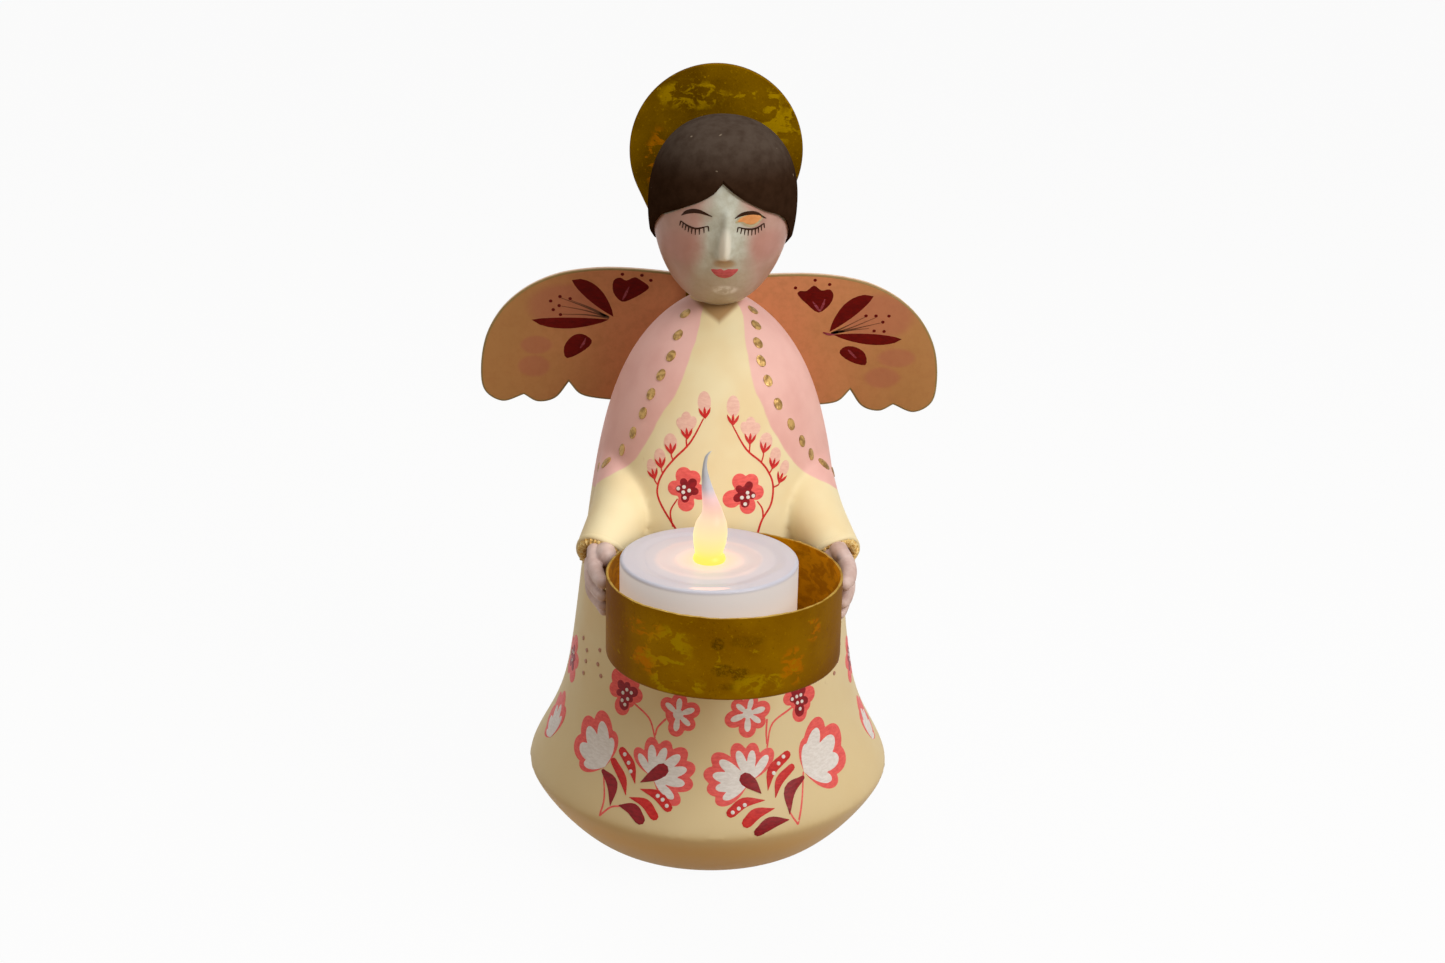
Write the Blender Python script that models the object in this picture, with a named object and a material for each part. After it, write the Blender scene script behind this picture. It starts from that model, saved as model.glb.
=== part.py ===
"""Angel candle holder: a painted resin figure with a gilt cup and an LED tealight.

Blender 4.5 script. Metres, +Z up. The origin is the centre of the flat base, on the axis that the
robe is turned about. The figure faces -Y, so the cup is at -Y and the wings and halo at +Y.
"""
import math

import bmesh
import bpy
from mathutils import Matrix, Vector

# Shared clearance between pieces that touch
GAP = 0.0003

# Robe: a turned bell with square shoulders, a flared hem and a rounded foot
ROBE_RADIUS = 0.0380
ROBE_TAPER = 0.109
ROBE_TOP = 0.13273
SHOULDER_SQUARENESS = 9.2
SHOULDER_ROUND = 1.446
HEM_HEIGHT = 0.0158
HEM_FLARE = 0.0073
FLARE_HEIGHT = 0.0129
FLARE_CURVE = 1.585
BASE_RADIUS = 0.0304
BASE_ROUND = 1.22
ROBE_SIDES = 60

# Neck and head
NECK_RADIUS = 0.0062
NECK_INSIDE_HEAD = 0.006
NECK_INSIDE_ROBE = 0.0085
NECK_SIDES = 23
HEAD_RADIUS = 0.01595
HEAD_CROWN = 0.0181
HEAD_CHIN = 0.0235
CROWN_SQUARENESS = 2.30
CHIN_SQUARENESS = 1.88
CHIN_BELOW_ROBE_TOP = 0.0030
HEAD_FORWARD = 0.0050
HEAD_ASIDE = 0.0005
HEAD_LEAN = math.radians(2.0)
HEAD_NOD = math.radians(5.0)
NOSE_LENGTH = 0.0105
NOSE_WIDTH = 0.0017
NOSE_HEIGHT = 0.0014
HEAD_SIDES = 28

# Cup: thin sheet metal, open on top, its back sunk a little into the robe
CUP_RADIUS = 0.0248
CUP_HEIGHT = 0.0181
CUP_WALL = 0.0005
CUP_FLOOR = 0.0006
CUP_BOTTOM = 0.0672
CUP_INSET = 0.0010
CUP_EDGE_ROUND = 0.0008
CUP_SIDES = 72

# Sleeves, from the robe's side to the cuff
CUFF_APART = 0.0258
CUFF_RADIUS = 0.0056
CUFF_BEAD = 0.0007
CUFF_BEAD_SUNK = 0.6
CUFF_BEHIND_CUP_AXIS = 0.0248
CUFF_BELOW_RIM = 0.0056
ELBOW_RADIUS = 0.0070
ELBOW_APART = 0.0215
ELBOW_BACK = 0.0105
ELBOW_RISE = 0.0060
SHOULDER_END_RADIUS = 0.0080
SHOULDER_END_APART = 0.0185
SHOULDER_END_BACK = 0.0240
SHOULDER_END_RISE = 0.0130
SLEEVE_SIDES = 16

# Hands that grip the cup from both sides
PALM_THICK = 0.0046
PALM_LONG = 0.0078
PALM_TALL = 0.0056
FINGERS = 4
FINGER_RADIUS = 0.00165
FINGER_PITCH = 0.0026
FINGER_DROP = 0.0026
FINGER_REACH = 0.0180
KNUCKLE_BULGE = 0.0052
KNUCKLE_OUT = 0.0027
THUMB_RADIUS = 0.0022
THUMB_LONG = 0.0076
FINGER_SIDES = 10

# Halo and wings: two flat sheets on a flat seat on the figure's back
SEAT_Y = 0.0190
SEAT_WIDTH = 0.0180
SEAT_TOP = 0.1280
SEAT_SLOPE_WIDE = 0.0042
SEAT_SLOPE_TALL = 0.0072
HALO_THICK = 0.0015
HALO_RADIUS = 0.0200
HALO_CENTRE_HEIGHT = 0.1604
HALO_TAPER = math.radians(25.6)
STEM_WIDTH = 0.0130
STEM_BOTTOM = 0.1090
HALO_SIDES = 60
WING_THICK = 0.0020
WING_TURN = math.radians(1.3)
WING_SCREW_RADIUS = 0.00145
WING_SCREW_HEAD_RADIUS = 0.0028
WING_SCREW_HEAD_HEIGHT = 0.0018
WING_SCREW_GRIP = 0.0075
WING_SCREW_LOW = 0.1130
WING_SCREW_PITCH = 0.0085
SCREW_SIDES = 20

# LED tealight
CANDLE_RADIUS = 0.01885
CANDLE_HEIGHT = 0.0186
CANDLE_WALL = 0.0012
CANDLE_LEAN_TO = math.radians(126.5)
CANDLE_SHOULDER = 0.0012
POOL_RADIUS = 0.0150
POOL_DEPTH = 0.0006
CANDLE_SIDES = 54

FLAME_NECK_RADIUS = 0.0030
FLAME_COLLAR_RADIUS = 0.0036
FLAME_COLLAR_HEIGHT = 0.0010
FLAME_BELLY_RADIUS = 0.0037
FLAME_HEIGHT = 0.0257
FLAME_FLANGE_RADIUS = 0.0052
FLAME_FLANGE_THICK = 0.0010
FLAME_TIP_ASIDE = 0.0008
FLAME_WALL = 0.0009
FLAME_SIDES = 24

BASE_RECESS = 0.0004
BASE_THICK = 0.0014
CELL_RADIUS = 0.0100
CELL_THICK = 0.0032
CELL_OFF_AXIS = 0.0040
WELL_WALL = 0.0010
WELL_CLEARANCE = 0.0008
DOOR_THICK = 0.0010
DOOR_LIP = 0.0004
DOOR_TAB_RADIUS = 0.0022
DOOR_SCREW_RADIUS = 0.0007
DOOR_SCREW_HEAD_RADIUS = 0.0013
DOOR_SCREW_HEAD_HEIGHT = 0.0006
DOOR_SCREW_LENGTH = 0.0035
CONTACT_THICK = 0.0003
CONTACT_WIDTH = 0.0030
BOARD_RADIUS = 0.0150
BOARD_THICK = 0.0010
LED_RADIUS = 0.0015
LED_HEIGHT = 0.0050
LED_LEG = 0.0003
SWITCH_LENGTH = 0.0086
SWITCH_WIDTH = 0.0040
SWITCH_OFF_AXIS = 0.0120
KNOB_LENGTH = 0.0022
KNOB_WIDTH = 0.0016
KNOB_FOOT = 0.0008
KNOB_TRAVEL = 0.0020

# Outline of the right wing from its top middle round to the arch over the robe: distance out from
# the axis and height. Each run is smooth, and the runs meet in the sharp notches.
WING_RUNS = (
    ((0.0, 0.1296), (0.0120, 0.1312), (0.0240, 0.1317), (0.0330, 0.1308), (0.0395, 0.1289),
     (0.0455, 0.1255), (0.0505, 0.1205), (0.0538, 0.1140), (0.0549, 0.1065), (0.0540, 0.1008),
     (0.0497, 0.0982), (0.0446, 0.1000)),
    ((0.0446, 0.1000), (0.0412, 0.0983), (0.0370, 0.0994), (0.0339, 0.1034)),
    ((0.0339, 0.1034), (0.0312, 0.1005), (0.0270, 0.0995), (0.0215, 0.0994), (0.0180, 0.1012),
     (0.0120, 0.1070)),
)
RUN_STEPS = 3

# Colours
RESIN_CREAM = (0.80, 0.66, 0.42, 1.0)
GOLD_LEAF = (0.42, 0.26, 0.03, 1.0)
WING_TAN = (0.42, 0.17, 0.07, 1.0)
CANDLE_WHITE = (0.86, 0.84, 0.82, 1.0)
FLAME_GLOW = (1.0, 0.80, 0.50, 1.0)
STEEL = (0.55, 0.56, 0.58, 1.0)
BRASS = (0.70, 0.48, 0.18, 1.0)
BOARD_GREEN = (0.04, 0.22, 0.10, 1.0)
SWITCH_BLACK = (0.02, 0.02, 0.02, 1.0)


def clear_scene():
    for old in list(bpy.data.objects):
        bpy.data.objects.remove(old, do_unlink=True)


def material(name, colour, roughness, metallic=0.0):
    finish = bpy.data.materials.new(name)
    finish.use_nodes = True
    shader = finish.node_tree.nodes["Principled BSDF"]
    shader.inputs["Base Color"].default_value = colour
    shader.inputs["Roughness"].default_value = roughness
    shader.inputs["Metallic"].default_value = metallic
    return finish


def add_object(name, bm, finish=None, sharp=math.radians(35)):
    """Turns a bmesh into a named object, shaded smooth but for its sharp edges."""
    bmesh.ops.recalc_face_normals(bm, faces=bm.faces)
    mesh = bpy.data.meshes.new(name)
    bm.to_mesh(mesh)
    bm.free()
    mesh.shade_smooth()
    mesh.set_sharp_from_angle(angle=sharp)
    made = bpy.data.objects.new(name, mesh)
    bpy.context.scene.collection.objects.link(made)
    if finish:
        mesh.materials.append(finish)
    return made


def guide(made):
    """Marks a shape that only joins or cuts another."""
    made.hide_render = True
    made.display_type = "WIRE"
    return made


def combine(target, tool, operation):
    step = target.modifiers.new(tool.name, "BOOLEAN")
    step.operation = operation
    step.solver = "EXACT"
    step.object = guide(tool)


def turned(profile, sides, closed=False):
    """Spins (radius, height) points about Z. A closed profile makes a ring, an open one has poles."""
    bm = bmesh.new()
    verts = [bm.verts.new((radius, 0.0, height)) for radius, height in profile]
    pairs = list(zip(verts, verts[1:]))
    if closed:
        pairs.append((verts[-1], verts[0]))
    edges = [bm.edges.new(pair) for pair in pairs]
    bmesh.ops.spin(bm, geom=verts + edges, axis=(0, 0, 1), cent=(0, 0, 0), angle=2 * math.pi,
                   steps=sides, use_merge=True)
    bmesh.ops.remove_doubles(bm, verts=bm.verts, dist=1e-6)
    return bm


def placed(bm, place):
    bmesh.ops.transform(bm, matrix=place, verts=bm.verts)
    return bm


def box(low, high):
    bm = bmesh.new()
    bmesh.ops.create_cube(bm, size=1.0)
    size = Vector(high) - Vector(low)
    middle = (Vector(high) + Vector(low)) / 2
    return placed(bm, Matrix.Translation(middle) @ Matrix.Diagonal((*size, 1.0)))


def cylinder(radius, low, high, centre=(0.0, 0.0), sides=SCREW_SIDES):
    bm = turned([(0.0, low), (radius, low), (radius, high), (0.0, high)], sides)
    return placed(bm, Matrix.Translation((centre[0], centre[1], 0.0)))


def sheet(outline, front, back):
    """A flat sheet in the XZ plane from y = front to y = back, with the given (x, z) outline."""
    bm = bmesh.new()
    face = bm.faces.new([bm.verts.new((x, front, z)) for x, z in outline])
    grown = bmesh.ops.extrude_face_region(bm, geom=[face])
    moved = [item for item in grown["geom"] if isinstance(item, bmesh.types.BMVert)]
    bmesh.ops.translate(bm, verts=moved, vec=(0.0, back - front, 0.0))
    return bm


def plate(outline, low, high):
    """A flat plate in the XY plane from z = low to z = high, with the given (x, y) outline."""
    bm = bmesh.new()
    face = bm.faces.new([bm.verts.new((x, y, low)) for x, y in outline])
    grown = bmesh.ops.extrude_face_region(bm, geom=[face])
    moved = [item for item in grown["geom"] if isinstance(item, bmesh.types.BMVert)]
    bmesh.ops.translate(bm, verts=moved, vec=(0.0, 0.0, high - low))
    return bm


def smooth_run(points, steps):
    """Points on one smooth curve through the given ones."""
    first = 2 * Vector(points[0]) - Vector(points[1])
    last = 2 * Vector(points[-1]) - Vector(points[-2])
    path = [first] + [Vector(point) for point in points] + [last]
    curve = []
    for before, start, end, after in zip(path, path[1:], path[2:], path[3:]):
        for step in range(steps):
            t = step / steps
            curve.append(0.5 * (2 * start + (end - before) * t
                                + (2 * before - 5 * start + 4 * end - after) * t ** 2
                                + (3 * start - before - 3 * end + after) * t ** 3))
    curve.append(path[-2])
    return curve


def round_tube(path, radii, sides):
    """A tube with rounded ends along a smooth path. Each end shrinks through two more rings."""
    spine = smooth_run(path, 3)
    spread = smooth_run([(radius, 0.0, 0.0) for radius in radii], 3)
    sizes = [value.x for value in spread]
    start = (spine[0] - spine[1]).normalized()
    end = (spine[-1] - spine[-2]).normalized()
    for angle in (math.radians(35), math.radians(68)):
        spine.insert(0, spine[0] + start * sizes[0] * 0.42)
        spine.append(spine[-1] + end * sizes[-1] * 0.42)
        sizes.insert(0, radii[0] * math.cos(angle))
        sizes.append(radii[-1] * math.cos(angle))
    bm = bmesh.new()
    rings = []
    for index, (centre, radius) in enumerate(zip(spine, sizes)):
        ahead = spine[min(index + 1, len(spine) - 1)]
        behind = spine[max(index - 1, 0)]
        along = (ahead - behind).normalized()
        side = along.cross(Vector((0.0, 0.0, 1.0))).normalized()
        up = side.cross(along)
        ring = []
        for turn in range(sides):
            angle = 2 * math.pi * turn / sides
            ring.append(bm.verts.new(centre + radius * (math.cos(angle) * side + math.sin(angle) * up)))
        rings.append(ring)
    for lower, upper in zip(rings, rings[1:]):
        for turn in range(sides):
            following = (turn + 1) % sides
            bm.faces.new((lower[turn], lower[following], upper[following], upper[turn]))
    bm.faces.new(rings[0][::-1])
    bm.faces.new(rings[-1])
    return bm


def robe_radius(height):
    """Radius of the robe at a height above the hem crease."""
    share = min(height / ROBE_TOP, 1.0)
    shoulder = (1.0 - share ** SHOULDER_SQUARENESS) ** (1.0 / SHOULDER_ROUND)
    above = max(height - HEM_HEIGHT, 0.0) / FLARE_HEIGHT
    return (ROBE_RADIUS - ROBE_TAPER * height) * shoulder + HEM_FLARE * math.exp(-above ** FLARE_CURVE)


# Places that several pieces share
HEM_RADIUS = robe_radius(HEM_HEIGHT)
CUP_Y = -(robe_radius(CUP_BOTTOM) - CUP_INSET + CUP_RADIUS)
CUP_RIM = CUP_BOTTOM + CUP_HEIGHT
CUFF_HEIGHT = CUP_RIM - CUFF_BELOW_RIM
CUFF_Y = CUP_Y + CUFF_BEHIND_CUP_AXIS
HEAD_HEIGHT = ROBE_TOP - CHIN_BELOW_ROBE_TOP + HEAD_CHIN
HEAD_PLACE = (Matrix.Translation((HEAD_ASIDE, -HEAD_FORWARD, HEAD_HEIGHT))
              @ Matrix.Rotation(HEAD_NOD, 4, "X") @ Matrix.Rotation(HEAD_LEAN, 4, "Y"))
GROOVE_Y = SEAT_Y - HALO_THICK - GAP
WING_FRONT = SEAT_Y + GAP
WING_BACK = WING_FRONT + WING_THICK
WING_SCREWS = (("lower_screw", WING_SCREW_LOW), ("upper_screw", WING_SCREW_LOW + WING_SCREW_PITCH))
WING_SCREW_TIP = GROOVE_Y - WING_SCREW_GRIP
CANDLE_SHIFT = CUP_RADIUS - CUP_WALL - CANDLE_RADIUS - GAP
CANDLE_X = CANDLE_SHIFT * math.cos(CANDLE_LEAN_TO)
CANDLE_Y = CUP_Y + CANDLE_SHIFT * math.sin(CANDLE_LEAN_TO)
CANDLE_Z = CUP_BOTTOM + CUP_FLOOR + GAP
CANDLE_PLACE = Matrix.Translation((CANDLE_X, CANDLE_Y, CANDLE_Z))


def robe_profile():
    points = [(0.0, 0.0)]
    for step in range(7):
        share = step / 6
        bulge = (1.0 - (1.0 - share) ** BASE_ROUND) ** (1.0 / BASE_ROUND)
        points.append((BASE_RADIUS + (HEM_RADIUS - BASE_RADIUS) * bulge, HEM_HEIGHT * share))
    rows = 18
    for row in range(1, rows):
        share = row / rows
        height = HEM_HEIGHT + (ROBE_TOP - HEM_HEIGHT) * (1.0 - (1.0 - share) ** 1.6 * (1.0 + 0.6 * share))
        points.append((robe_radius(height), height))
    points.append((0.0, ROBE_TOP))
    return points


def head_profile(rows=10):
    """Egg: a round crown above the widest line and a longer, narrower chin below it."""
    points = []
    for step in range(2 * rows + 1):
        angle = math.pi * (step / (2 * rows) - 0.5)
        power = CROWN_SQUARENESS if angle > 0 else CHIN_SQUARENESS
        half = HEAD_CROWN if angle > 0 else HEAD_CHIN
        radius = HEAD_RADIUS * max(math.cos(angle), 0.0) ** (2 / power)
        height = half * math.copysign(abs(math.sin(angle)) ** (2 / power), angle)
        points.append((radius, height))
    points[0] = (0.0, -HEAD_CHIN)
    points[-1] = (0.0, HEAD_CROWN)
    return points


def head():
    """The egg with a nose ridge drawn out of its front."""
    bm = turned(head_profile(), HEAD_SIDES)
    bridge = 0.0
    tip = bridge - NOSE_LENGTH
    for vert in bm.verts:
        if vert.co.y > 0 or not tip - NOSE_WIDTH < vert.co.z < bridge + NOSE_WIDTH:
            continue
        across = math.exp(-(vert.co.x / NOSE_WIDTH) ** 2)
        down = min(max((bridge - vert.co.z) / NOSE_LENGTH, 0.0), 1.0)
        vert.co.y -= NOSE_HEIGHT * across * (0.35 + 0.65 * down)
    return placed(bm, HEAD_PLACE)


def sleeve(side):
    path = (
        (side * SHOULDER_END_APART, CUFF_Y + SHOULDER_END_BACK, CUFF_HEIGHT + SHOULDER_END_RISE),
        (side * ELBOW_APART, CUFF_Y + ELBOW_BACK, CUFF_HEIGHT + ELBOW_RISE),
        (side * CUFF_APART, CUFF_Y, CUFF_HEIGHT),
    )
    return round_tube(path, (SHOULDER_END_RADIUS, ELBOW_RADIUS, CUFF_RADIUS), SLEEVE_SIDES)


def palm(side):
    bm = bmesh.new()
    bmesh.ops.create_uvsphere(bm, u_segments=14, v_segments=10, radius=1.0)
    middle = (side * CUFF_APART, CUFF_Y - PALM_LONG * 0.75, CUFF_HEIGHT)
    size = Matrix.Diagonal((PALM_THICK, PALM_LONG, PALM_TALL, 1.0))
    return placed(bm, Matrix.Translation(middle) @ size)


def cup_side(distance, clear):
    """How far out from the middle plane the cup's wall is, that far behind the cup's axis."""
    reach = CUP_RADIUS + clear
    return math.sqrt(max(reach ** 2 - distance ** 2, (reach / 4) ** 2))


def finger(side, number):
    """One finger, from its knuckle on the palm to its tip on the cup's wall."""
    top = CUFF_HEIGHT + PALM_TALL * 0.55 - number * FINGER_PITCH
    start = CUFF_Y - PALM_LONG * 0.70
    reach = FINGER_REACH - abs(number - 1) * FINGER_RADIUS * 0.7
    end = CUFF_Y - reach
    middle = (start + end) / 2
    path = (
        (side * (CUFF_APART + KNUCKLE_OUT), start, top),
        (side * (cup_side(middle - CUP_Y, FINGER_RADIUS) + KNUCKLE_BULGE), middle, top - FINGER_DROP * 0.35),
        (side * cup_side(end - CUP_Y, FINGER_RADIUS), end, top - FINGER_DROP),
    )
    return round_tube(path, (FINGER_RADIUS * 1.1, FINGER_RADIUS * 1.1, FINGER_RADIUS * 0.92), FINGER_SIDES)


def thumb(side):
    """The thumb lies over the palm, with its tip beside the cup's rim."""
    start = CUFF_Y - PALM_LONG * 0.35
    end = start - THUMB_LONG
    height = CUFF_HEIGHT + PALM_TALL * 0.70
    path = (
        (side * (CUFF_APART - THUMB_RADIUS * 0.1), start, height),
        (side * (CUFF_APART - THUMB_RADIUS * 0.2), (start + end) / 2, height + THUMB_RADIUS * 0.3),
        (side * (CUFF_APART - THUMB_RADIUS * 0.4), end, height - THUMB_RADIUS * 0.2),
    )
    return round_tube(path, (THUMB_RADIUS * 1.1, THUMB_RADIUS * 1.15, THUMB_RADIUS), FINGER_SIDES + 2)


def cuff_ring(side):
    """The raised trim round the end of a sleeve."""
    sides = 24
    bm = bmesh.new()
    verts = []
    for step in range(8):
        angle = 2 * math.pi * step / 8
        verts.append(bm.verts.new((CUFF_RADIUS + CUFF_BEAD * (math.cos(angle) - CUFF_BEAD_SUNK), 0.0,
                                   CUFF_BEAD * 1.3 * math.sin(angle))))
    edges = [bm.edges.new(pair) for pair in zip(verts, verts[1:] + verts[:1])]
    bmesh.ops.spin(bm, geom=verts + edges, axis=(0, 0, 1), cent=(0, 0, 0), angle=2 * math.pi,
                   steps=sides, use_merge=True)
    bmesh.ops.remove_doubles(bm, verts=bm.verts, dist=1e-6)
    start = Vector((side * ELBOW_APART, CUFF_Y + ELBOW_BACK, CUFF_HEIGHT + ELBOW_RISE))
    end = Vector((side * CUFF_APART, CUFF_Y, CUFF_HEIGHT))
    along = (end - start).normalized()
    turn = Vector((0.0, 0.0, 1.0)).rotation_difference(along).to_matrix().to_4x4()
    return placed(bm, Matrix.Translation(end) @ turn)


def halo_outline(grow=0.0):
    """Disc whose sides run off as tangents into a stem. grow widens it for the groove."""
    half = STEM_WIDTH / 2 + grow
    radius = HALO_RADIUS + grow
    points = []
    for step in range(HALO_SIDES + 1):
        angle = -HALO_TAPER + (math.pi + 2 * HALO_TAPER) * step / HALO_SIDES
        points.append((radius * math.cos(angle), HALO_CENTRE_HEIGHT + radius * math.sin(angle)))
    edge = radius * math.cos(HALO_TAPER)
    drop = (edge - half) / math.tan(HALO_TAPER)
    shoulder = HALO_CENTRE_HEIGHT - radius * math.sin(HALO_TAPER) - drop
    bottom = STEM_BOTTOM - grow
    points += [(-half, shoulder), (-half, bottom), (half, bottom), (half, shoulder)]
    return points


def wing_outline():
    """Both wings in one outline, turned a little about the middle of the screws."""
    half = []
    for run in WING_RUNS:
        half += smooth_run([(x, z, 0.0) for x, z in run], RUN_STEPS)[1 if half else 0:]
    right = [(point.x, point.y) for point in half]
    left = [(-x, z) for x, z in reversed(right) if x > 0]
    pivot = WING_SCREW_LOW + WING_SCREW_PITCH / 2
    turned_points = []
    for x, z in right + left:
        rise = z - pivot
        turned_points.append((x * math.cos(WING_TURN) + rise * math.sin(WING_TURN),
                              pivot - x * math.sin(WING_TURN) + rise * math.cos(WING_TURN)))
    return turned_points


def seat_cut_outline():
    """What is cut off the robe's back so that the wings lie flat on it, with room for their turn."""
    arch = WING_RUNS[-1][-1]
    foot = WING_RUNS[-1][-3]
    clear = GAP + abs(math.sin(WING_TURN)) * foot[0] + 0.0006
    low = foot[1] - clear
    inner = arch[0] - clear / 2
    outer = foot[0] - clear * 1.5
    out = robe_radius(low)
    return [(inner, arch[1] - clear), (outer, low), (out, low), (out, ROBE_TOP),
            (-out, ROBE_TOP), (-out, low), (-outer, low), (-inner, arch[1] - clear)]


def make_figure(finish):
    figure = add_object("figure", turned(robe_profile(), ROBE_SIDES), finish)
    pad = [(-SEAT_WIDTH / 2, STEM_BOTTOM), (SEAT_WIDTH / 2, STEM_BOTTOM),
           (SEAT_WIDTH / 2, SEAT_TOP - SEAT_SLOPE_TALL), (SEAT_WIDTH / 2 - SEAT_SLOPE_WIDE, SEAT_TOP),
           (SEAT_SLOPE_WIDE - SEAT_WIDTH / 2, SEAT_TOP), (-SEAT_WIDTH / 2, SEAT_TOP - SEAT_SLOPE_TALL)]
    combine(figure, add_object("seat_pad", sheet(pad, 0.0, SEAT_Y)), "UNION")
    neck = cylinder(NECK_RADIUS, ROBE_TOP - NECK_INSIDE_ROBE, ROBE_TOP + NECK_INSIDE_HEAD, sides=NECK_SIDES)
    combine(figure, add_object("neck", neck), "UNION")
    combine(figure, add_object("head", head()), "UNION")
    for side, word in ((-1, "left"), (1, "right")):
        combine(figure, add_object("sleeve_" + word, sleeve(side)), "UNION")
        combine(figure, add_object("cuff_" + word, cuff_ring(side)), "UNION")
        combine(figure, add_object("palm_" + word, palm(side)), "UNION")
        combine(figure, add_object("thumb_" + word, thumb(side)), "UNION")
        for number in range(FINGERS):
            name = "finger_%s_%d" % (word, number + 1)
            combine(figure, add_object(name, finger(side, number)), "UNION")
    reach = 4 * HEM_RADIUS
    cut = sheet(seat_cut_outline(), SEAT_Y, reach)
    combine(figure, add_object("seat_cut", cut), "DIFFERENCE")
    groove = sheet(halo_outline(GAP), GROOVE_Y, SEAT_Y + HALO_THICK)
    combine(figure, add_object("halo_groove", groove), "DIFFERENCE")
    for name, height in WING_SCREWS:
        bore = cylinder(WING_SCREW_RADIUS + GAP, 0.0, reach)
        turn = Matrix.Translation((0.0, WING_SCREW_TIP - GAP, height)) @ Matrix.Rotation(-math.pi / 2, 4, "X")
        combine(figure, add_object(name + "_bore", placed(bore, turn)), "DIFFERENCE")
    room = cylinder(CUP_RADIUS + GAP, CUP_BOTTOM - GAP, CUP_RIM + CUP_HEIGHT, (0.0, CUP_Y), CUP_SIDES)
    combine(figure, add_object("cup_room", room), "DIFFERENCE")
    return figure


def make_halo(finish):
    halo = add_object("halo", sheet(halo_outline(), SEAT_Y - HALO_THICK, SEAT_Y), finish)
    cut_screw_holes(halo, "halo_hole")
    return halo


def make_wings(finish):
    wings = add_object("wings", sheet(wing_outline(), WING_FRONT, WING_BACK), finish)
    cut_screw_holes(wings, "wing_hole")
    return wings


def cut_screw_holes(target, name):
    for screw, height in WING_SCREWS:
        hole = cylinder(WING_SCREW_RADIUS + GAP, 0.0, 2 * SEAT_Y)
        turn = Matrix.Translation((0.0, 0.0, height)) @ Matrix.Rotation(-math.pi / 2, 4, "X")
        combine(target, add_object("%s_%s" % (name, screw), placed(hole, turn)), "DIFFERENCE")


def make_wing_screws(finish):
    """Pan heads behind the wings, with their shanks through wings and halo into the figure."""
    under = WING_BACK + GAP
    length = under - WING_SCREW_TIP
    profile = [(0.0, -length), (WING_SCREW_RADIUS * 0.6, -length), (WING_SCREW_RADIUS, -length + 0.001),
               (WING_SCREW_RADIUS, 0.0), (WING_SCREW_HEAD_RADIUS, 0.0),
               (WING_SCREW_HEAD_RADIUS, WING_SCREW_HEAD_HEIGHT * 0.45),
               (WING_SCREW_HEAD_RADIUS * 0.75, WING_SCREW_HEAD_HEIGHT * 0.85),
               (0.0, WING_SCREW_HEAD_HEIGHT)]
    for name, height in WING_SCREWS:
        turn = Matrix.Translation((0.0, under, height)) @ Matrix.Rotation(-math.pi / 2, 4, "X")
        add_object(name, placed(turned(profile, SCREW_SIDES), turn), finish)


def make_cup(finish):
    """Wall and floor as one thin profile, rounded where they meet."""
    inner = CUP_RADIUS - CUP_WALL
    top = CUP_HEIGHT
    profile = [(0.0, 0.0), (CUP_RADIUS - CUP_EDGE_ROUND, 0.0)]
    for step in range(1, 4):
        angle = math.pi / 2 * (step / 3 - 1)
        profile.append((CUP_RADIUS - CUP_EDGE_ROUND * (1 - math.cos(angle)),
                        CUP_EDGE_ROUND * (1 + math.sin(angle))))
    profile += [(CUP_RADIUS, top), (inner, top), (inner, CUP_FLOOR), (0.0, CUP_FLOOR)]
    return add_object("cup", placed(turned(profile, CUP_SIDES), Matrix.Translation((0.0, CUP_Y, CUP_BOTTOM))), finish)


# Heights inside the tealight, above its foot
BASE_TOP = BASE_RECESS + BASE_THICK
CELL_BOTTOM = BASE_RECESS + DOOR_THICK + GAP
CELL_TOP = CELL_BOTTOM + CELL_THICK
WELL_RADIUS = CELL_RADIUS + WELL_CLEARANCE
WELL_TOP = CELL_TOP + 2 * GAP + CONTACT_THICK
BOARD_BOTTOM = WELL_TOP + GAP
BOARD_TOP = BOARD_BOTTOM + BOARD_THICK
ROOF_BOTTOM = CANDLE_HEIGHT - POOL_DEPTH - CANDLE_WALL
TAB_Y = WELL_RADIUS + WELL_WALL + DOOR_TAB_RADIUS * 0.55


def make_candle_shell(finish):
    """Moulded shell, open below, with a shallow pool and a hole for the flame on top."""
    inner = CANDLE_RADIUS - CANDLE_WALL
    hole = FLAME_NECK_RADIUS + GAP
    top = CANDLE_HEIGHT
    profile = [(CANDLE_RADIUS, 0.0), (CANDLE_RADIUS, top - CANDLE_SHOULDER)]
    for step in range(1, 5):
        angle = math.pi / 2 * step / 4
        profile.append((CANDLE_RADIUS - CANDLE_SHOULDER * (1 - math.cos(angle)),
                        top - CANDLE_SHOULDER * (1 - math.sin(angle))))
    profile += [(POOL_RADIUS + 0.0010, top), (POOL_RADIUS, top - POOL_DEPTH), (hole, top - POOL_DEPTH),
                (hole, ROOF_BOTTOM), (inner, ROOF_BOTTOM), (inner, 0.0)]
    return add_object("candle_shell", placed(turned(profile, CANDLE_SIDES, closed=True), CANDLE_PLACE), finish)


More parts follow.
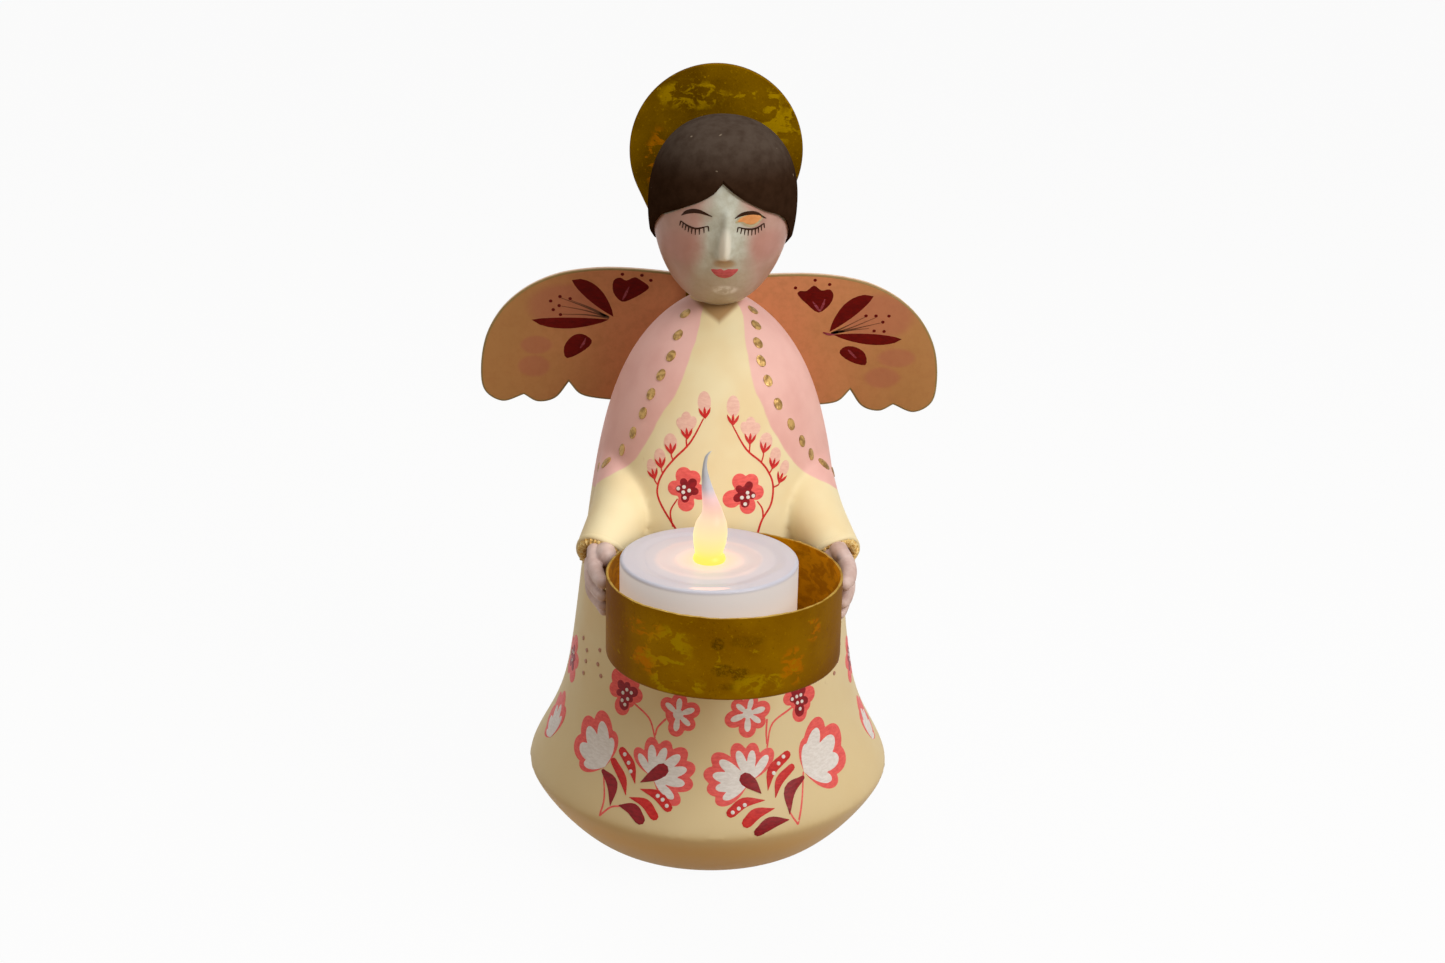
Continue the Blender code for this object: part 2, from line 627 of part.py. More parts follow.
def make_flame(finish):
    """Hollow moulded flame: a flange under the shell's roof, a collar on the pool and a curled tip."""
    pool = CANDLE_HEIGHT - POOL_DEPTH
    flange = ROOF_BOTTOM - GAP
    collar = pool + GAP
    rise = FLAME_HEIGHT
    bore = FLAME_NECK_RADIUS - FLAME_WALL
    start = collar + FLAME_COLLAR_HEIGHT
    swell = ((0.05, 0.97), (0.13, 1.0), (0.22, 0.97), (0.32, 0.80), (0.42, 0.58), (0.54, 0.37),
             (0.68, 0.23), (0.82, 0.14), (0.94, 0.08))
    profile = [(0.0, start), (bore, start), (bore, flange - FLAME_FLANGE_THICK),
               (FLAME_FLANGE_RADIUS, flange - FLAME_FLANGE_THICK), (FLAME_FLANGE_RADIUS, flange),
               (FLAME_NECK_RADIUS, flange), (FLAME_NECK_RADIUS, collar), (FLAME_COLLAR_RADIUS, collar),
               (FLAME_COLLAR_RADIUS, collar + FLAME_COLLAR_HEIGHT * 0.6), (FLAME_NECK_RADIUS, start)]
    profile += [(FLAME_BELLY_RADIUS * wide, start + (rise - FLAME_COLLAR_HEIGHT) * up) for up, wide in swell]
    profile.append((0.0, collar + rise))
    bm = turned(profile, FLAME_SIDES)
    for vert in bm.verts:
        share = max(vert.co.z - start, 0.0) / rise
        vert.co.x += FLAME_TIP_ASIDE * (2.6 * share ** 5 - 1.4 * math.sin(math.pi * min(share, 1.0)) ** 2 * share)
    return add_object("candle_flame", placed(bm, CANDLE_PLACE), finish, math.radians(60))


def round_outline(radius, centre, sides):
    return [(centre[0] + radius * math.cos(2 * math.pi * step / sides),
             centre[1] + radius * math.sin(2 * math.pi * step / sides)) for step in range(sides)]


def door_outline(grow=0.0):
    """Round battery door with a rounded tab for its screw."""
    radius = WELL_RADIUS + DOOR_LIP + grow
    tab = DOOR_TAB_RADIUS + grow
    sides = 48
    start = math.asin(tab / radius)
    points = []
    for step in range(sides + 1):
        angle = math.pi / 2 + start + (2 * math.pi - 2 * start) * step / sides
        points.append((-CELL_OFF_AXIS + radius * math.cos(angle), radius * math.sin(angle)))
    for step in range(9):
        angle = math.pi * step / 8
        points.append((-CELL_OFF_AXIS + tab * math.cos(angle), TAB_Y + tab * math.sin(angle)))
    return points


def make_candle_base(finish):
    """Base cover with the battery well, the door's recess, a screw boss and the switch's slot."""
    base = add_object("candle_base", placed(cylinder(CANDLE_RADIUS - CANDLE_WALL - GAP, BASE_RECESS, BASE_TOP,
                                                     sides=CANDLE_SIDES), CANDLE_PLACE), finish)
    centre = (-CELL_OFF_AXIS, 0.0)
    hole = cylinder(WELL_RADIUS + GAP, 0.0, WELL_TOP, centre, 48)
    combine(base, add_object("well_hole", placed(hole, CANDLE_PLACE)), "DIFFERENCE")
    inside = BASE_RECESS + BASE_THICK / 2
    wall = turned([(WELL_RADIUS, inside), (WELL_RADIUS + WELL_WALL, inside),
                   (WELL_RADIUS + WELL_WALL, WELL_TOP), (WELL_RADIUS, WELL_TOP)], 48, closed=True)
    place = CANDLE_PLACE @ Matrix.Translation((-CELL_OFF_AXIS, 0.0, 0.0))
    combine(base, add_object("well_wall", placed(wall, place)), "UNION")
    boss = cylinder(DOOR_TAB_RADIUS, BASE_RECESS + BASE_THICK / 4, BASE_RECESS + DOOR_SCREW_LENGTH + 0.0012,
                    (-CELL_OFF_AXIS, TAB_Y))
    combine(base, add_object("screw_boss", placed(boss, CANDLE_PLACE)), "UNION")
    recess = plate(door_outline(GAP), 0.0, BASE_RECESS + DOOR_THICK + GAP)
    combine(base, add_object("door_recess", placed(recess, CANDLE_PLACE)), "DIFFERENCE")
    bore = cylinder(DOOR_SCREW_RADIUS + GAP, 0.0, BASE_RECESS + DOOR_SCREW_LENGTH + GAP,
                    (-CELL_OFF_AXIS, TAB_Y))
    combine(base, add_object("door_screw_bore", placed(bore, CANDLE_PLACE)), "DIFFERENCE")
    notch = box((-CELL_OFF_AXIS - WELL_RADIUS - WELL_WALL - BASE_THICK, -CONTACT_WIDTH / 2 - GAP, BASE_TOP),
                (-CELL_OFF_AXIS - WELL_RADIUS + WELL_WALL, CONTACT_WIDTH / 2 + GAP, WELL_TOP + BASE_THICK))
    combine(base, add_object("contact_notch", placed(notch, CANDLE_PLACE)), "DIFFERENCE")
    half = KNOB_WIDTH / 2 + GAP
    slot = box((SWITCH_OFF_AXIS - half, -KNOB_TRAVEL / 2 - KNOB_LENGTH / 2 - GAP, 0.0),
               (SWITCH_OFF_AXIS + half, KNOB_TRAVEL / 2 + KNOB_LENGTH / 2 + GAP, BASE_TOP + BASE_THICK))
    combine(base, add_object("switch_slot", placed(slot, CANDLE_PLACE)), "DIFFERENCE")
    return base


def make_battery_door(finish):
    door = add_object("battery_door", placed(plate(door_outline(), BASE_RECESS, BASE_RECESS + DOOR_THICK),
                                             CANDLE_PLACE), finish)
    spot = (-CELL_OFF_AXIS, TAB_Y)
    hole = cylinder(DOOR_SCREW_RADIUS + GAP, 0.0, CELL_TOP, spot)
    sink = cylinder(DOOR_SCREW_HEAD_RADIUS + GAP, 0.0, BASE_RECESS + DOOR_SCREW_HEAD_HEIGHT, spot)
    combine(door, add_object("door_hole", placed(hole, CANDLE_PLACE)), "DIFFERENCE")
    combine(door, add_object("door_sink", placed(sink, CANDLE_PLACE)), "DIFFERENCE")
    return door


def make_door_screw(finish):
    head = DOOR_SCREW_HEAD_HEIGHT - GAP
    low = BASE_RECESS
    profile = [(0.0, low), (DOOR_SCREW_HEAD_RADIUS, low), (DOOR_SCREW_HEAD_RADIUS, low + head),
               (DOOR_SCREW_RADIUS, low + head), (DOOR_SCREW_RADIUS, low + DOOR_SCREW_LENGTH * 0.85),
               (0.0, low + DOOR_SCREW_LENGTH)]
    place = CANDLE_PLACE @ Matrix.Translation((-CELL_OFF_AXIS, TAB_Y, 0.0))
    return add_object("door_screw", placed(turned(profile, SCREW_SIDES), place), finish)


def make_coin_cell(finish):
    """Can with a rounded edge and the smaller cap that faces up."""
    cap = CELL_RADIUS - 0.0012
    step = 0.0004
    profile = [(0.0, CELL_BOTTOM), (CELL_RADIUS - step, CELL_BOTTOM), (CELL_RADIUS, CELL_BOTTOM + step),
               (CELL_RADIUS, CELL_TOP - step), (cap, CELL_TOP - step), (cap, CELL_TOP), (0.0, CELL_TOP)]
    place = CANDLE_PLACE @ Matrix.Translation((-CELL_OFF_AXIS, 0.0, 0.0))
    return add_object("coin_cell", placed(turned(profile, 48), place), finish)


def make_contacts(finish):
    """A spring strip in the well's notch for the can, and a strip under the board for the cap."""
    half = CONTACT_WIDTH / 2
    outer = -CELL_OFF_AXIS - CELL_RADIUS - GAP
    strip = box((outer - CONTACT_THICK, -half, BASE_TOP + GAP), (outer, half, BOARD_BOTTOM - GAP))
    add_object("contact_positive", placed(strip, CANDLE_PLACE), finish)
    low = CELL_TOP + GAP
    reach = CELL_RADIUS * 0.8
    leaf = box((-CELL_OFF_AXIS - reach, -half, low), (-CELL_OFF_AXIS + reach, half, low + CONTACT_THICK))
    add_object("contact_negative", placed(leaf, CANDLE_PLACE), finish)


def make_circuit_board(finish):
    disc = cylinder(BOARD_RADIUS, BOARD_BOTTOM, BOARD_TOP, sides=48)
    board = add_object("circuit_board", placed(disc, CANDLE_PLACE), finish)
    return board


def make_led(finish):
    """Domed body inside the flame, on two legs from the board."""
    top = CANDLE_HEIGHT - POOL_DEPTH + FLAME_COLLAR_HEIGHT * 0.5
    low = top - LED_HEIGHT
    dome = LED_RADIUS * math.sin(math.radians(45))
    profile = [(0.0, low), (LED_RADIUS, low), (LED_RADIUS, top - LED_RADIUS),
               (dome, top - LED_RADIUS + dome), (0.0, top)]
    led = add_object("led", placed(turned(profile, 16), CANDLE_PLACE), finish)
    for word, spot in (("left", -LED_RADIUS / 2), ("right", LED_RADIUS / 2)):
        leg = cylinder(LED_LEG, BOARD_TOP + GAP, low + LED_RADIUS, (spot, 0.0), 8)
        combine(led, add_object("led_leg_" + word, placed(leg, CANDLE_PLACE)), "UNION")
    return led


def make_switch(body_finish, knob_finish):
    """Slide switch on the board's underside. The knob stands in the base's slot, in its ON place."""
    low = BASE_TOP + 2 * GAP
    high = BOARD_BOTTOM - GAP
    half = SWITCH_WIDTH / 2
    case = box((SWITCH_OFF_AXIS - half, -SWITCH_LENGTH / 2, low),
               (SWITCH_OFF_AXIS + half, SWITCH_LENGTH / 2, high))
    body = add_object("switch_body", placed(case, CANDLE_PLACE), body_finish)
    foot_half = KNOB_WIDTH / 2 + KNOB_FOOT
    foot_top = low + KNOB_FOOT + GAP
    run = KNOB_TRAVEL / 2 + KNOB_LENGTH / 2
    track = box((SWITCH_OFF_AXIS - foot_half - GAP, -run - KNOB_FOOT - GAP, 0.0),
                (SWITCH_OFF_AXIS + foot_half + GAP, run + KNOB_FOOT + GAP, foot_top + GAP))
    combine(body, add_object("knob_track", placed(track, CANDLE_PLACE)), "DIFFERENCE")
    rest = KNOB_TRAVEL / 2
    half_length = KNOB_LENGTH / 2
    foot = box((-foot_half, -half_length - KNOB_FOOT, low + GAP), (foot_half, half_length + KNOB_FOOT, foot_top))
    grip = box((-KNOB_WIDTH / 2, -half_length, BASE_RECESS + GAP), (KNOB_WIDTH / 2, half_length, low + KNOB_FOOT))
    place = CANDLE_PLACE @ Matrix.Translation((SWITCH_OFF_AXIS, rest, 0.0))
    knob = add_object("switch_knob", foot, knob_finish)
    knob.matrix_world = place
    stem = add_object("knob_grip", grip)
    stem.matrix_world = place
    combine(knob, stem, "UNION")
    return body, knob


def build():
    clear_scene()
    gold = material("gold_leaf", GOLD_LEAF, 0.35, 1.0)
    steel = material("steel", STEEL, 0.3, 1.0)
    brass = material("brass", BRASS, 0.35, 1.0)
    white = material("candle_white", CANDLE_WHITE, 0.35)
    black = material("switch_black", SWITCH_BLACK, 0.5)
    make_figure(material("painted_resin", RESIN_CREAM, 0.55))
    make_halo(gold)
    make_wings(material("painted_sheet", WING_TAN, 0.55))
    make_wing_screws(steel)
    make_cup(gold)
    make_candle_shell(white)
    make_flame(material("flame", FLAME_GLOW, 0.3))
    make_candle_base(white)
    make_battery_door(white)
    make_door_screw(steel)
    make_coin_cell(steel)
    make_contacts(brass)
    make_circuit_board(material("board_green", BOARD_GREEN, 0.5))
    make_led(material("led_clear", (0.9, 0.8, 0.5, 1.0), 0.2))
    make_switch(steel, black)


build()
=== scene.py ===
"""Looks for an angel candle holder: a hand-painted resin figure with a gilt halo and cup, painted
tin wings and an LED tealight. Metres, +Z up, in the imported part's own frame."""

import math

import bmesh
import bpy
from mathutils import Matrix, Vector
from mathutils.bvhtree import BVHTree


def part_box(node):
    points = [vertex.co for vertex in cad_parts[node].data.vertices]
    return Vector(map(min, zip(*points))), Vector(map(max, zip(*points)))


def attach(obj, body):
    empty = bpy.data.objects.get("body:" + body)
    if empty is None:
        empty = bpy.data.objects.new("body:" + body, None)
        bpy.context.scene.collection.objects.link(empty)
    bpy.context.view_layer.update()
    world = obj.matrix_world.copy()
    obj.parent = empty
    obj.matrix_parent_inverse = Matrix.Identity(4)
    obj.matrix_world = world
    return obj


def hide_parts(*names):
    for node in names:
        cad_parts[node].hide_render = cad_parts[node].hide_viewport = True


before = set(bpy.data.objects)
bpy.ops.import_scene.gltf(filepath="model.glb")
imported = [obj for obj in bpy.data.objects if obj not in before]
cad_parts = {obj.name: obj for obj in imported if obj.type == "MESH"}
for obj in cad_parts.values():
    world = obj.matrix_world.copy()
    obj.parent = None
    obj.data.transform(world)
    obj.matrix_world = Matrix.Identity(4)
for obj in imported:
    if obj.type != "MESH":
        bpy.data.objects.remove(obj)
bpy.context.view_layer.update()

MM = 0.001
TO_MM = 1000.0

# Camera, from the photograph's viewpoint
CAMERA_LENS = 50.0
CAMERA_SENSOR = 36.0
CAMERA_DISTANCE = 0.47045
CAMERA_ELEVATION = math.radians(19.41)
CAMERA_AZIMUTH = math.radians(-3.14)
CAMERA_ROLL = math.radians(1.27)
CAMERA_AIM_ASIDE = 0.00212
CAMERA_AIM_HEIGHT = 0.0860

# Robe, with the same turned profile as the solid
ROBE_RADIUS = 0.0380
ROBE_TAPER = 0.109
ROBE_TOP = 0.13273
SHOULDER_SQUARENESS = 9.2
SHOULDER_ROUND = 1.446
HEM_HEIGHT = 0.0158
HEM_FLARE = 0.0073
FLARE_HEIGHT = 0.0129
FLARE_CURVE = 1.585
BASE_RADIUS = 0.0304
BASE_ROUND = 1.22

# Head: an egg that leans and nods a little
HEAD_RADIUS = 0.01548
HEAD_CROWN = 0.0181
HEAD_CHIN = 0.0235
CROWN_SQUARENESS = 2.30
CHIN_SQUARENESS = 1.96
CHIN_BELOW_ROBE_TOP = 0.0030
NECK_RADIUS = 0.0062
HEAD_FORWARD = 0.0050
HEAD_ASIDE = 0.0005
HEAD_LEAN = math.radians(2.0)
HEAD_NOD = math.radians(5.0)
HEAD_HEIGHT = ROBE_TOP - CHIN_BELOW_ROBE_TOP + HEAD_CHIN
HEAD_PLACE = (Matrix.Translation((HEAD_ASIDE, -HEAD_FORWARD, HEAD_HEIGHT))
              @ Matrix.Rotation(HEAD_NOD, 4, "X") @ Matrix.Rotation(HEAD_LEAN, 4, "Y"))

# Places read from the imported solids
CUP_LOW, CUP_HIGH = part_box("cup")
CUP_CENTRE = (CUP_LOW + CUP_HIGH) / 2
CUP_RADIUS = (CUP_HIGH.x - CUP_LOW.x) / 2
SHELL_LOW, SHELL_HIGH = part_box("candle_shell")
CANDLE_CENTRE = (SHELL_LOW + SHELL_HIGH) / 2
CANDLE_RADIUS = (SHELL_HIGH.x - SHELL_LOW.x) / 2
FLAME_LOW, FLAME_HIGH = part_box("candle_flame")
HALO_LOW, HALO_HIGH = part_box("halo")
WING_LOW, WING_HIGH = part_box("wings")


def srgb(red, green, blue):
    """A display colour, 0 to 255, as the linear colour that Blender takes."""
    return tuple(((part / 255 + 0.055) / 1.055) ** 2.4 if part > 10 else part / 3294.6
                 for part in (red, green, blue)) + (1.0,)


class Shade:
    """One value in a material's node tree. Arithmetic on it adds Math nodes."""

    def __init__(self, tree, socket=None):
        self.tree = tree
        self.socket = socket

    def node(self, kind, settings=None, inputs=None, output=0):
        made = self.tree.nodes.new("ShaderNode" + kind)
        for key, value in (settings or {}).items():
            if key == "stops":
                fill_ramp(made.color_ramp, value)
            elif key == "points":
                fill_curve(made.mapping, value)
            else:
                setattr(made, key, value)
        for key, value in (inputs or {}).items():
            if isinstance(value, Shade):
                self.tree.links.new(value.socket, made.inputs[key])
            else:
                made.inputs[key].default_value = value
        return Shade(self.tree, made.outputs[output])

    def math(self, operation, *values):
        return self.node("Math", {"operation": operation}, dict(enumerate((self,) + values)))

    def __add__(self, other):
        return self.math("ADD", other)

    __radd__ = __add__

    def __sub__(self, other):
        return self.math("SUBTRACT", other)

    def __rsub__(self, other):
        return self * -1.0 + other

    def __mul__(self, other):
        return self.math("MULTIPLY", other)

    __rmul__ = __mul__

    def __truediv__(self, other):
        return self.math("DIVIDE", other)

    def __pow__(self, other):
        return self.math("POWER", other)

    def step(self, low, high):
        """0 below low, 1 above high, smooth between."""
        return self.node("MapRange", {"interpolation_type": "SMOOTHSTEP"}, {0: self, 1: low, 2: high})

    def mix(self, first, second):
        """The first colour where this is 0, the second where it is 1."""
        return self.node("Mix", {"data_type": "RGBA"}, {0: self, 6: first, 7: second}, 2)

    def noise(self, scale, detail=3.0, roughness=0.55, **more):
        return self.node("TexNoise", None, {"Vector": self, "Scale": scale, "Detail": detail,
                                            "Roughness": roughness, **more})

    def parts(self):
        """The X, Y and Z of a vector."""
        split = self.node("SeparateXYZ", None, {0: self}).socket.node
        return [Shade(self.tree, split.outputs[axis]) for axis in range(3)]

    def mapped(self, place=(0.0, 0.0, 0.0), turn=(0.0, 0.0, 0.0), size=(1.0, 1.0, 1.0)):
        """This point as seen from a frame at that place, turned and sized so."""
        return self.node("Mapping", {"vector_type": "TEXTURE"},
                         {"Vector": self, "Location": place, "Rotation": turn, "Scale": size})


def fill_ramp(ramp, stops):
    while len(ramp.elements) < len(stops):
        ramp.elements.new(0.5)
    for element, (place, colour) in zip(ramp.elements, stops):
        element.position = place
        element.color = colour


def fill_curve(mapping, points):
    curve = mapping.curves[0]
    while len(curve.points) < len(points):
        curve.points.new(0.5, 0.5)
    for knot, place in zip(curve.points, points):
        knot.location = place
        knot.handle_type = "AUTO"
    mapping.update()


def new_finish(name):
    """An empty material, the point being shaded, and a function that fills in its surface."""
    finish = bpy.data.materials.new(name)
    finish.use_nodes = True
    tree = finish.node_tree
    surface = tree.nodes["Principled BSDF"]
    point = Shade(tree).node("TexCoord", None, None, "Object")

    def fill(bump=None, strength=0.3, distance=0.0002, **values):
        if bump is not None:
            values["Normal"] = point.node("Bump", None, {"Height": bump, "Strength": strength,
                                                         "Distance": distance})
        for key, value in values.items():
            socket = surface.inputs[key.replace("_", " ")]
            if isinstance(value, Shade):
                tree.links.new(value.socket, socket)
            else:
                socket.default_value = value
        return finish

    return point, fill


def fine_grain(point, scale=900.0):
    """Brush and casting texture, about a millimetre across."""
    return point.noise(scale, 4.0, 0.6)


def oval_reach(x, z, centre, radii):
    """0 in the middle of an oval seen from the front and 1 at its edge, given in millimetres."""
    across = (x * TO_MM - centre[0]) / radii[0]
    up = (z * TO_MM - centre[1]) / radii[1]
    return across * across + up * up


# Robe finish: cream paint with a pink mantle round the shoulders
CREAM = srgb(234, 223, 184)
CREAM_WARM = srgb(228, 208, 162)
# Cream darkened as painted shade, low on the skirt and on the neck
CREAM_PAINTED_SHADE = srgb(216, 196, 150)
MANTLE_PINK = srgb(236, 190, 182)
MANTLE_DUSTY = srgb(224, 172, 164)
MANTLE_LOW = 0.080
MANTLE_SPAN = 0.055
MANTLE_EDGE_LEFT = ((180.0, 83.0), (110.0, 84.3), (73.6, 87.3), (49.7, 95.4), (41.5, 100.1), (32.7, 109.1),
                    (27.2, 112.9), (22.7, 120.9), (20.9, 124.5), (25.1, 128.9), (40.0, 134.0))
MANTLE_EDGE_RIGHT = ((180.0, 83.0), (110.0, 84.0), (73.9, 86.2), (43.3, 96.3), (32.9, 102.9), (24.5, 111.7),
                     (20.9, 117.1), (22.0, 121.0), (24.2, 124.5), (38.0, 129.4), (60.0, 134.0))


def mantle_mask(point):
    """1 on the mantle. Its edge is an angle off the front for each height, for each side."""
    x, y, z = point.parts()
    wobble = (point.noise(160.0, 2.0) - 0.5) * 3.0
    angle = x.math("ARCTAN2", y * -1.0) * (180.0 / math.pi)
    share = (z - MANTLE_LOW) / MANTLE_SPAN
    edges = []
    for places in (MANTLE_EDGE_LEFT, MANTLE_EDGE_RIGHT):
        knots = [(0.0, 1.0)] + [((height * MM - MANTLE_LOW) / MANTLE_SPAN, spot / 180.0)
                                for spot, height in places]
        edges.append(share.node("FloatCurve", {"points": knots}, {"Value": share}) * 180.0)
    right = x.step(-0.0001, 0.0001)
    edge = edges[0] * (1.0 - right) + edges[1] * right
    return (angle.math("ABSOLUTE") - edge + wobble).step(-0.7, 0.7) * z.step(0.0825, 0.0835)


def robe_finish():
    point, fill = new_finish("robe_paint")
    x, y, z = point.parts()
    cloud = point.noise(45.0, 3.0)
    fine = fine_grain(point, 700.0)
    cream = cloud.step(0.35, 0.7).mix(CREAM, CREAM_WARM)
    # Painted shade: the cream darkens towards the bottom of the skirt.
    cream = (z.step(0.075, 0.020) * 0.75).mix(cream, CREAM_PAINTED_SHADE)
    pink = point.noise(70.0, 4.0).step(0.35, 0.75).mix(MANTLE_PINK, MANTLE_DUSTY)
    colour = mantle_mask(point).mix(cream, pink)
    scuff = point.noise(260.0, 2.0, 0.5).step(0.74, 0.80)
    colour = (scuff * 0.35).mix(colour, srgb(196, 168, 120))
    # Painted shadow of the chin: a brown V on the chest just below the head, not a collar.
    collar = ((z - ROBE_TOP) * TO_MM + x.math("ABSOLUTE") * -600.0 + (cloud - 0.5) * 1.5).step(-6.1, -4.6)
    colour = (collar * y.step(0.0, -0.002) * 0.85).mix(colour, srgb(150, 108, 60))
    # Painted warm bounce light and shade under the hem, strongest at the front and left.
    foot = z.step(0.0175, 0.0095) * (x * -TO_MM + y * -300.0).step(-34.0, -4.0)
    colour = (foot * 0.9).mix(colour, srgb(232, 192, 112))
    return fill(bump=fine + cloud * 0.6, strength=0.10, Base_Color=colour,
                Roughness=fine * 0.16 + 0.46, Specular_IOR_Level=0.30)


# Rose on cheeks and lids: the middle and radii of each in millimetres on the head, and how strong
ROSE_PATCHES = (((-8.8, -7.2), (5.2, 4.6), 0.46), ((9.4, -5.8), (4.4, 4.2), 0.52),
                ((-6.3, 0.6), (3.4, 1.7), 0.12), ((6.2, 4.5), (3.4, 1.6), 0.35))


def skin_finish():
    """Face paint: pearl down the middle, rose on the sides and cheeks."""
    point, fill = new_finish("face_paint")
    local = point.mapped(tuple(HEAD_PLACE.translation), tuple(HEAD_PLACE.to_euler()))
    x, _, z = local.parts()

    def far_from(across, up, wide, tall):
        """Squared distance from a place in millimetres on the head, weighed across and up."""
        aside = x * TO_MM - across
        above = z * TO_MM - up
        return aside * aside * wide + above * above * tall

    patch = local.noise(170.0, 3.0)
    dab = local.noise(520.0, 4.0, 0.65)
    side = (x.math("ABSOLUTE") * TO_MM + (patch - 0.5) * 4.0 + z * 120.0).step(2.2, 7.0)
    colour = dab.step(0.3, 0.75).mix(srgb(202, 208, 198), srgb(182, 184, 168))
    rose = patch.step(0.35, 0.7).mix(srgb(194, 158, 148), srgb(180, 142, 130))
    colour = side.mix(colour, rose)
    low = (z * -TO_MM + (patch - 0.5) * 6.0).step(7.0, 15.0)
    colour = (low * 0.6 * (1.0 - side * 0.5)).mix(colour, srgb(174, 148, 118))
    # Painted highlight: a pale streaky patch on the chin.
    spot = (far_from(1.0, -16.8, 0.10, 0.5) + (patch - 0.5) * 0.8).step(1.3, 0.2)
    colour = (spot * dab.step(0.35, 0.65) * 0.75).mix(colour, srgb(236, 234, 228))
    # Painted highlight down the ridge of the nose.
    painted_nose_highlight = far_from(0.1, -5.5, 0.55, 0.05)
    colour = (painted_nose_highlight.step(1.4, 0.2) * 0.9).mix(colour, srgb(236, 236, 224))
    # Painted shadow down one side of the nose.
    painted_nose_shadow = far_from(-2.5, -4.5, 0.8, 0.05)
    colour = (painted_nose_shadow.step(1.3, 0.2) * 0.35).mix(colour, srgb(158, 156, 138))
    for centre, radii, amount in ROSE_PATCHES:
        far = oval_reach(x, z, centre, radii) + (patch - 0.5) * 0.5
        colour = (far.step(1.3, 0.1) * amount).mix(colour, srgb(188, 130, 120))
    # Under the nose: tan paint with the painted shadow of the nose in it.
    nose = far_from(0.3, -9.7, 0.18, 0.75).step(1.6, 0.2)
    colour = (nose * 0.8).mix(colour, srgb(166, 132, 84))
    return fill(bump=dab + patch * 0.5, strength=0.22, Base_Color=colour, Roughness=dab * 0.2 + 0.34,
                Specular_IOR_Level=0.42)


def hair_finish():
    point, fill = new_finish("hair_paint")
    dab = point.noise(420.0, 4.0, 0.6)
    fleck = point.noise(520.0, 1.0, 0.4).step(0.77, 0.80)
    _, _, z = point.parts()
    # Painted sheen: the hair is lighter on the crown.
    crown = (z - HEAD_PLACE.translation.z).step(0.006, 0.015)
    colour = crown.mix(dab.step(0.3, 0.8).mix(srgb(54, 37, 26), srgb(43, 28, 18)),
                       dab.step(0.3, 0.8).mix(srgb(78, 67, 59), srgb(63, 51, 43)))
    colour = (fleck * 0.6).mix(colour, srgb(150, 136, 118))
    return fill(bump=dab, strength=0.22, Base_Color=colour, Roughness=dab * 0.2 + 0.5,
                Specular_IOR_Level=0.0)


def hand_finish():
    point, fill = new_finish("hand_paint")
    patch = point.noise(220.0, 3.0)
    dab = point.noise(900.0, 3.0, 0.6)
    colour = patch.step(0.3, 0.7).mix(srgb(214, 192, 186), srgb(192, 164, 156))
    return fill(bump=dab, strength=0.2, Base_Color=colour, Roughness=dab * 0.15 + 0.46,
                Specular_IOR_Level=0.3)


GOLD_ORANGE = srgb(168, 100, 0)
GOLD_YELLOW = srgb(150, 118, 0)
GOLD_DARK = srgb(52, 34, 0)


def gold_leaf_finish(name, dull, bright, flecks=(), bowl=False):
    """Laid leaf: a dull gold ground with torn flecks at the places given. A bowl has painted candle glow
    inside.
    """
    point, fill = new_finish(name)
    warp = point.noise(70.0, 3.0)
    grain = point.noise(1500.0, 4.0, 0.7)
    torn = point.mapped(size=(1.6, 1.6, 1.0)).noise(420.0, 5.0, 0.62, Distortion=0.6)
    drift = point.noise(120.0, 4.0, 0.6, Distortion=0.8)
    colour = warp.step(0.3, 0.7).mix(dull, bright)
    for tint, amount, place, size in flecks:
        x, y, z = point.mapped(place, (0.0, 0.0, 0.0), size).parts()
        near = (x * x + y * y + z * z + (drift - 0.5) * 2.2).step(1.0, 0.3)
        rag = grain.step(0.36, 0.60) if tint == GOLD_DARK else (torn + (drift - 0.5) * 0.5).step(0.48, 0.55)
        colour = (near * rag * amount).mix(colour, tint)
    colour = ((torn - drift * 0.25).step(0.52, 0.56) * 0.7).mix(colour, GOLD_YELLOW)
    colour = (grain.step(0.59, 0.70) * 0.6).mix(colour, srgb(156, 118, 0))
    colour = (grain.step(0.40, 0.32) * 0.35).mix(colour, GOLD_DARK)
    metallic = 0.55
    glow = 0.0
    if bowl:
        x, y, z = point.mapped((CUP_CENTRE.x, CUP_CENTRE.y, CUP_LOW.z)).parts()
        reach = (x * x + y * y) ** 0.5
        inside = (CUP_RADIUS - 0.00045 - reach).step(0.0, 0.0001) * z.step(0.0005, 0.0007)
        # Painted candle light: the inside of the bowl is a brighter gold.
        painted_inside_light = (torn + drift * 0.4).step(0.62, 0.78).mix(srgb(150, 94, 0), srgb(186, 124, 4))
        colour = inside.mix(colour, painted_inside_light)
        lip = (z - (CUP_HIGH.z - CUP_LOW.z - 0.00035) + (torn - 0.5) * 0.0006).step(0.0, 0.00025)
        colour = (lip * 0.65).mix(colour, srgb(206, 176, 96))
        metallic = 0.55 - inside * 0.45
        # Painted glow of the candle light inside the bowl, off at the lip.
        glow = (inside * (1.0 - lip)).mix((0.0, 0.0, 0.0, 1.0), srgb(112, 66, 0))
    finish = fill(bump=grain * 0.6 + torn, strength=0.28, Base_Color=colour, Metallic=metallic,
                  Roughness=grain * 0.25 + torn * 0.15 + 0.32, Specular_IOR_Level=0.06,
                  Specular_Tint=srgb(150, 110, 10))
    return fill(Emission_Color=glow, Emission_Strength=0.25) if bowl else finish


# Rose patches on the wings: the middle and radii of each, in millimetres
WING_ROSE_PATCHES = (((-35.3, 123.0), (8.6, 5.2)), ((-41.9, 113.4), (3.6, 2.2)),
                     ((-42.2, 108.2), (3.8, 2.6)), ((38.9, 120.8), (8.4, 5.4)),
                     ((44.3, 110.8), (4.6, 2.3)), ((41.0, 105.9), (4.4, 2.6)))


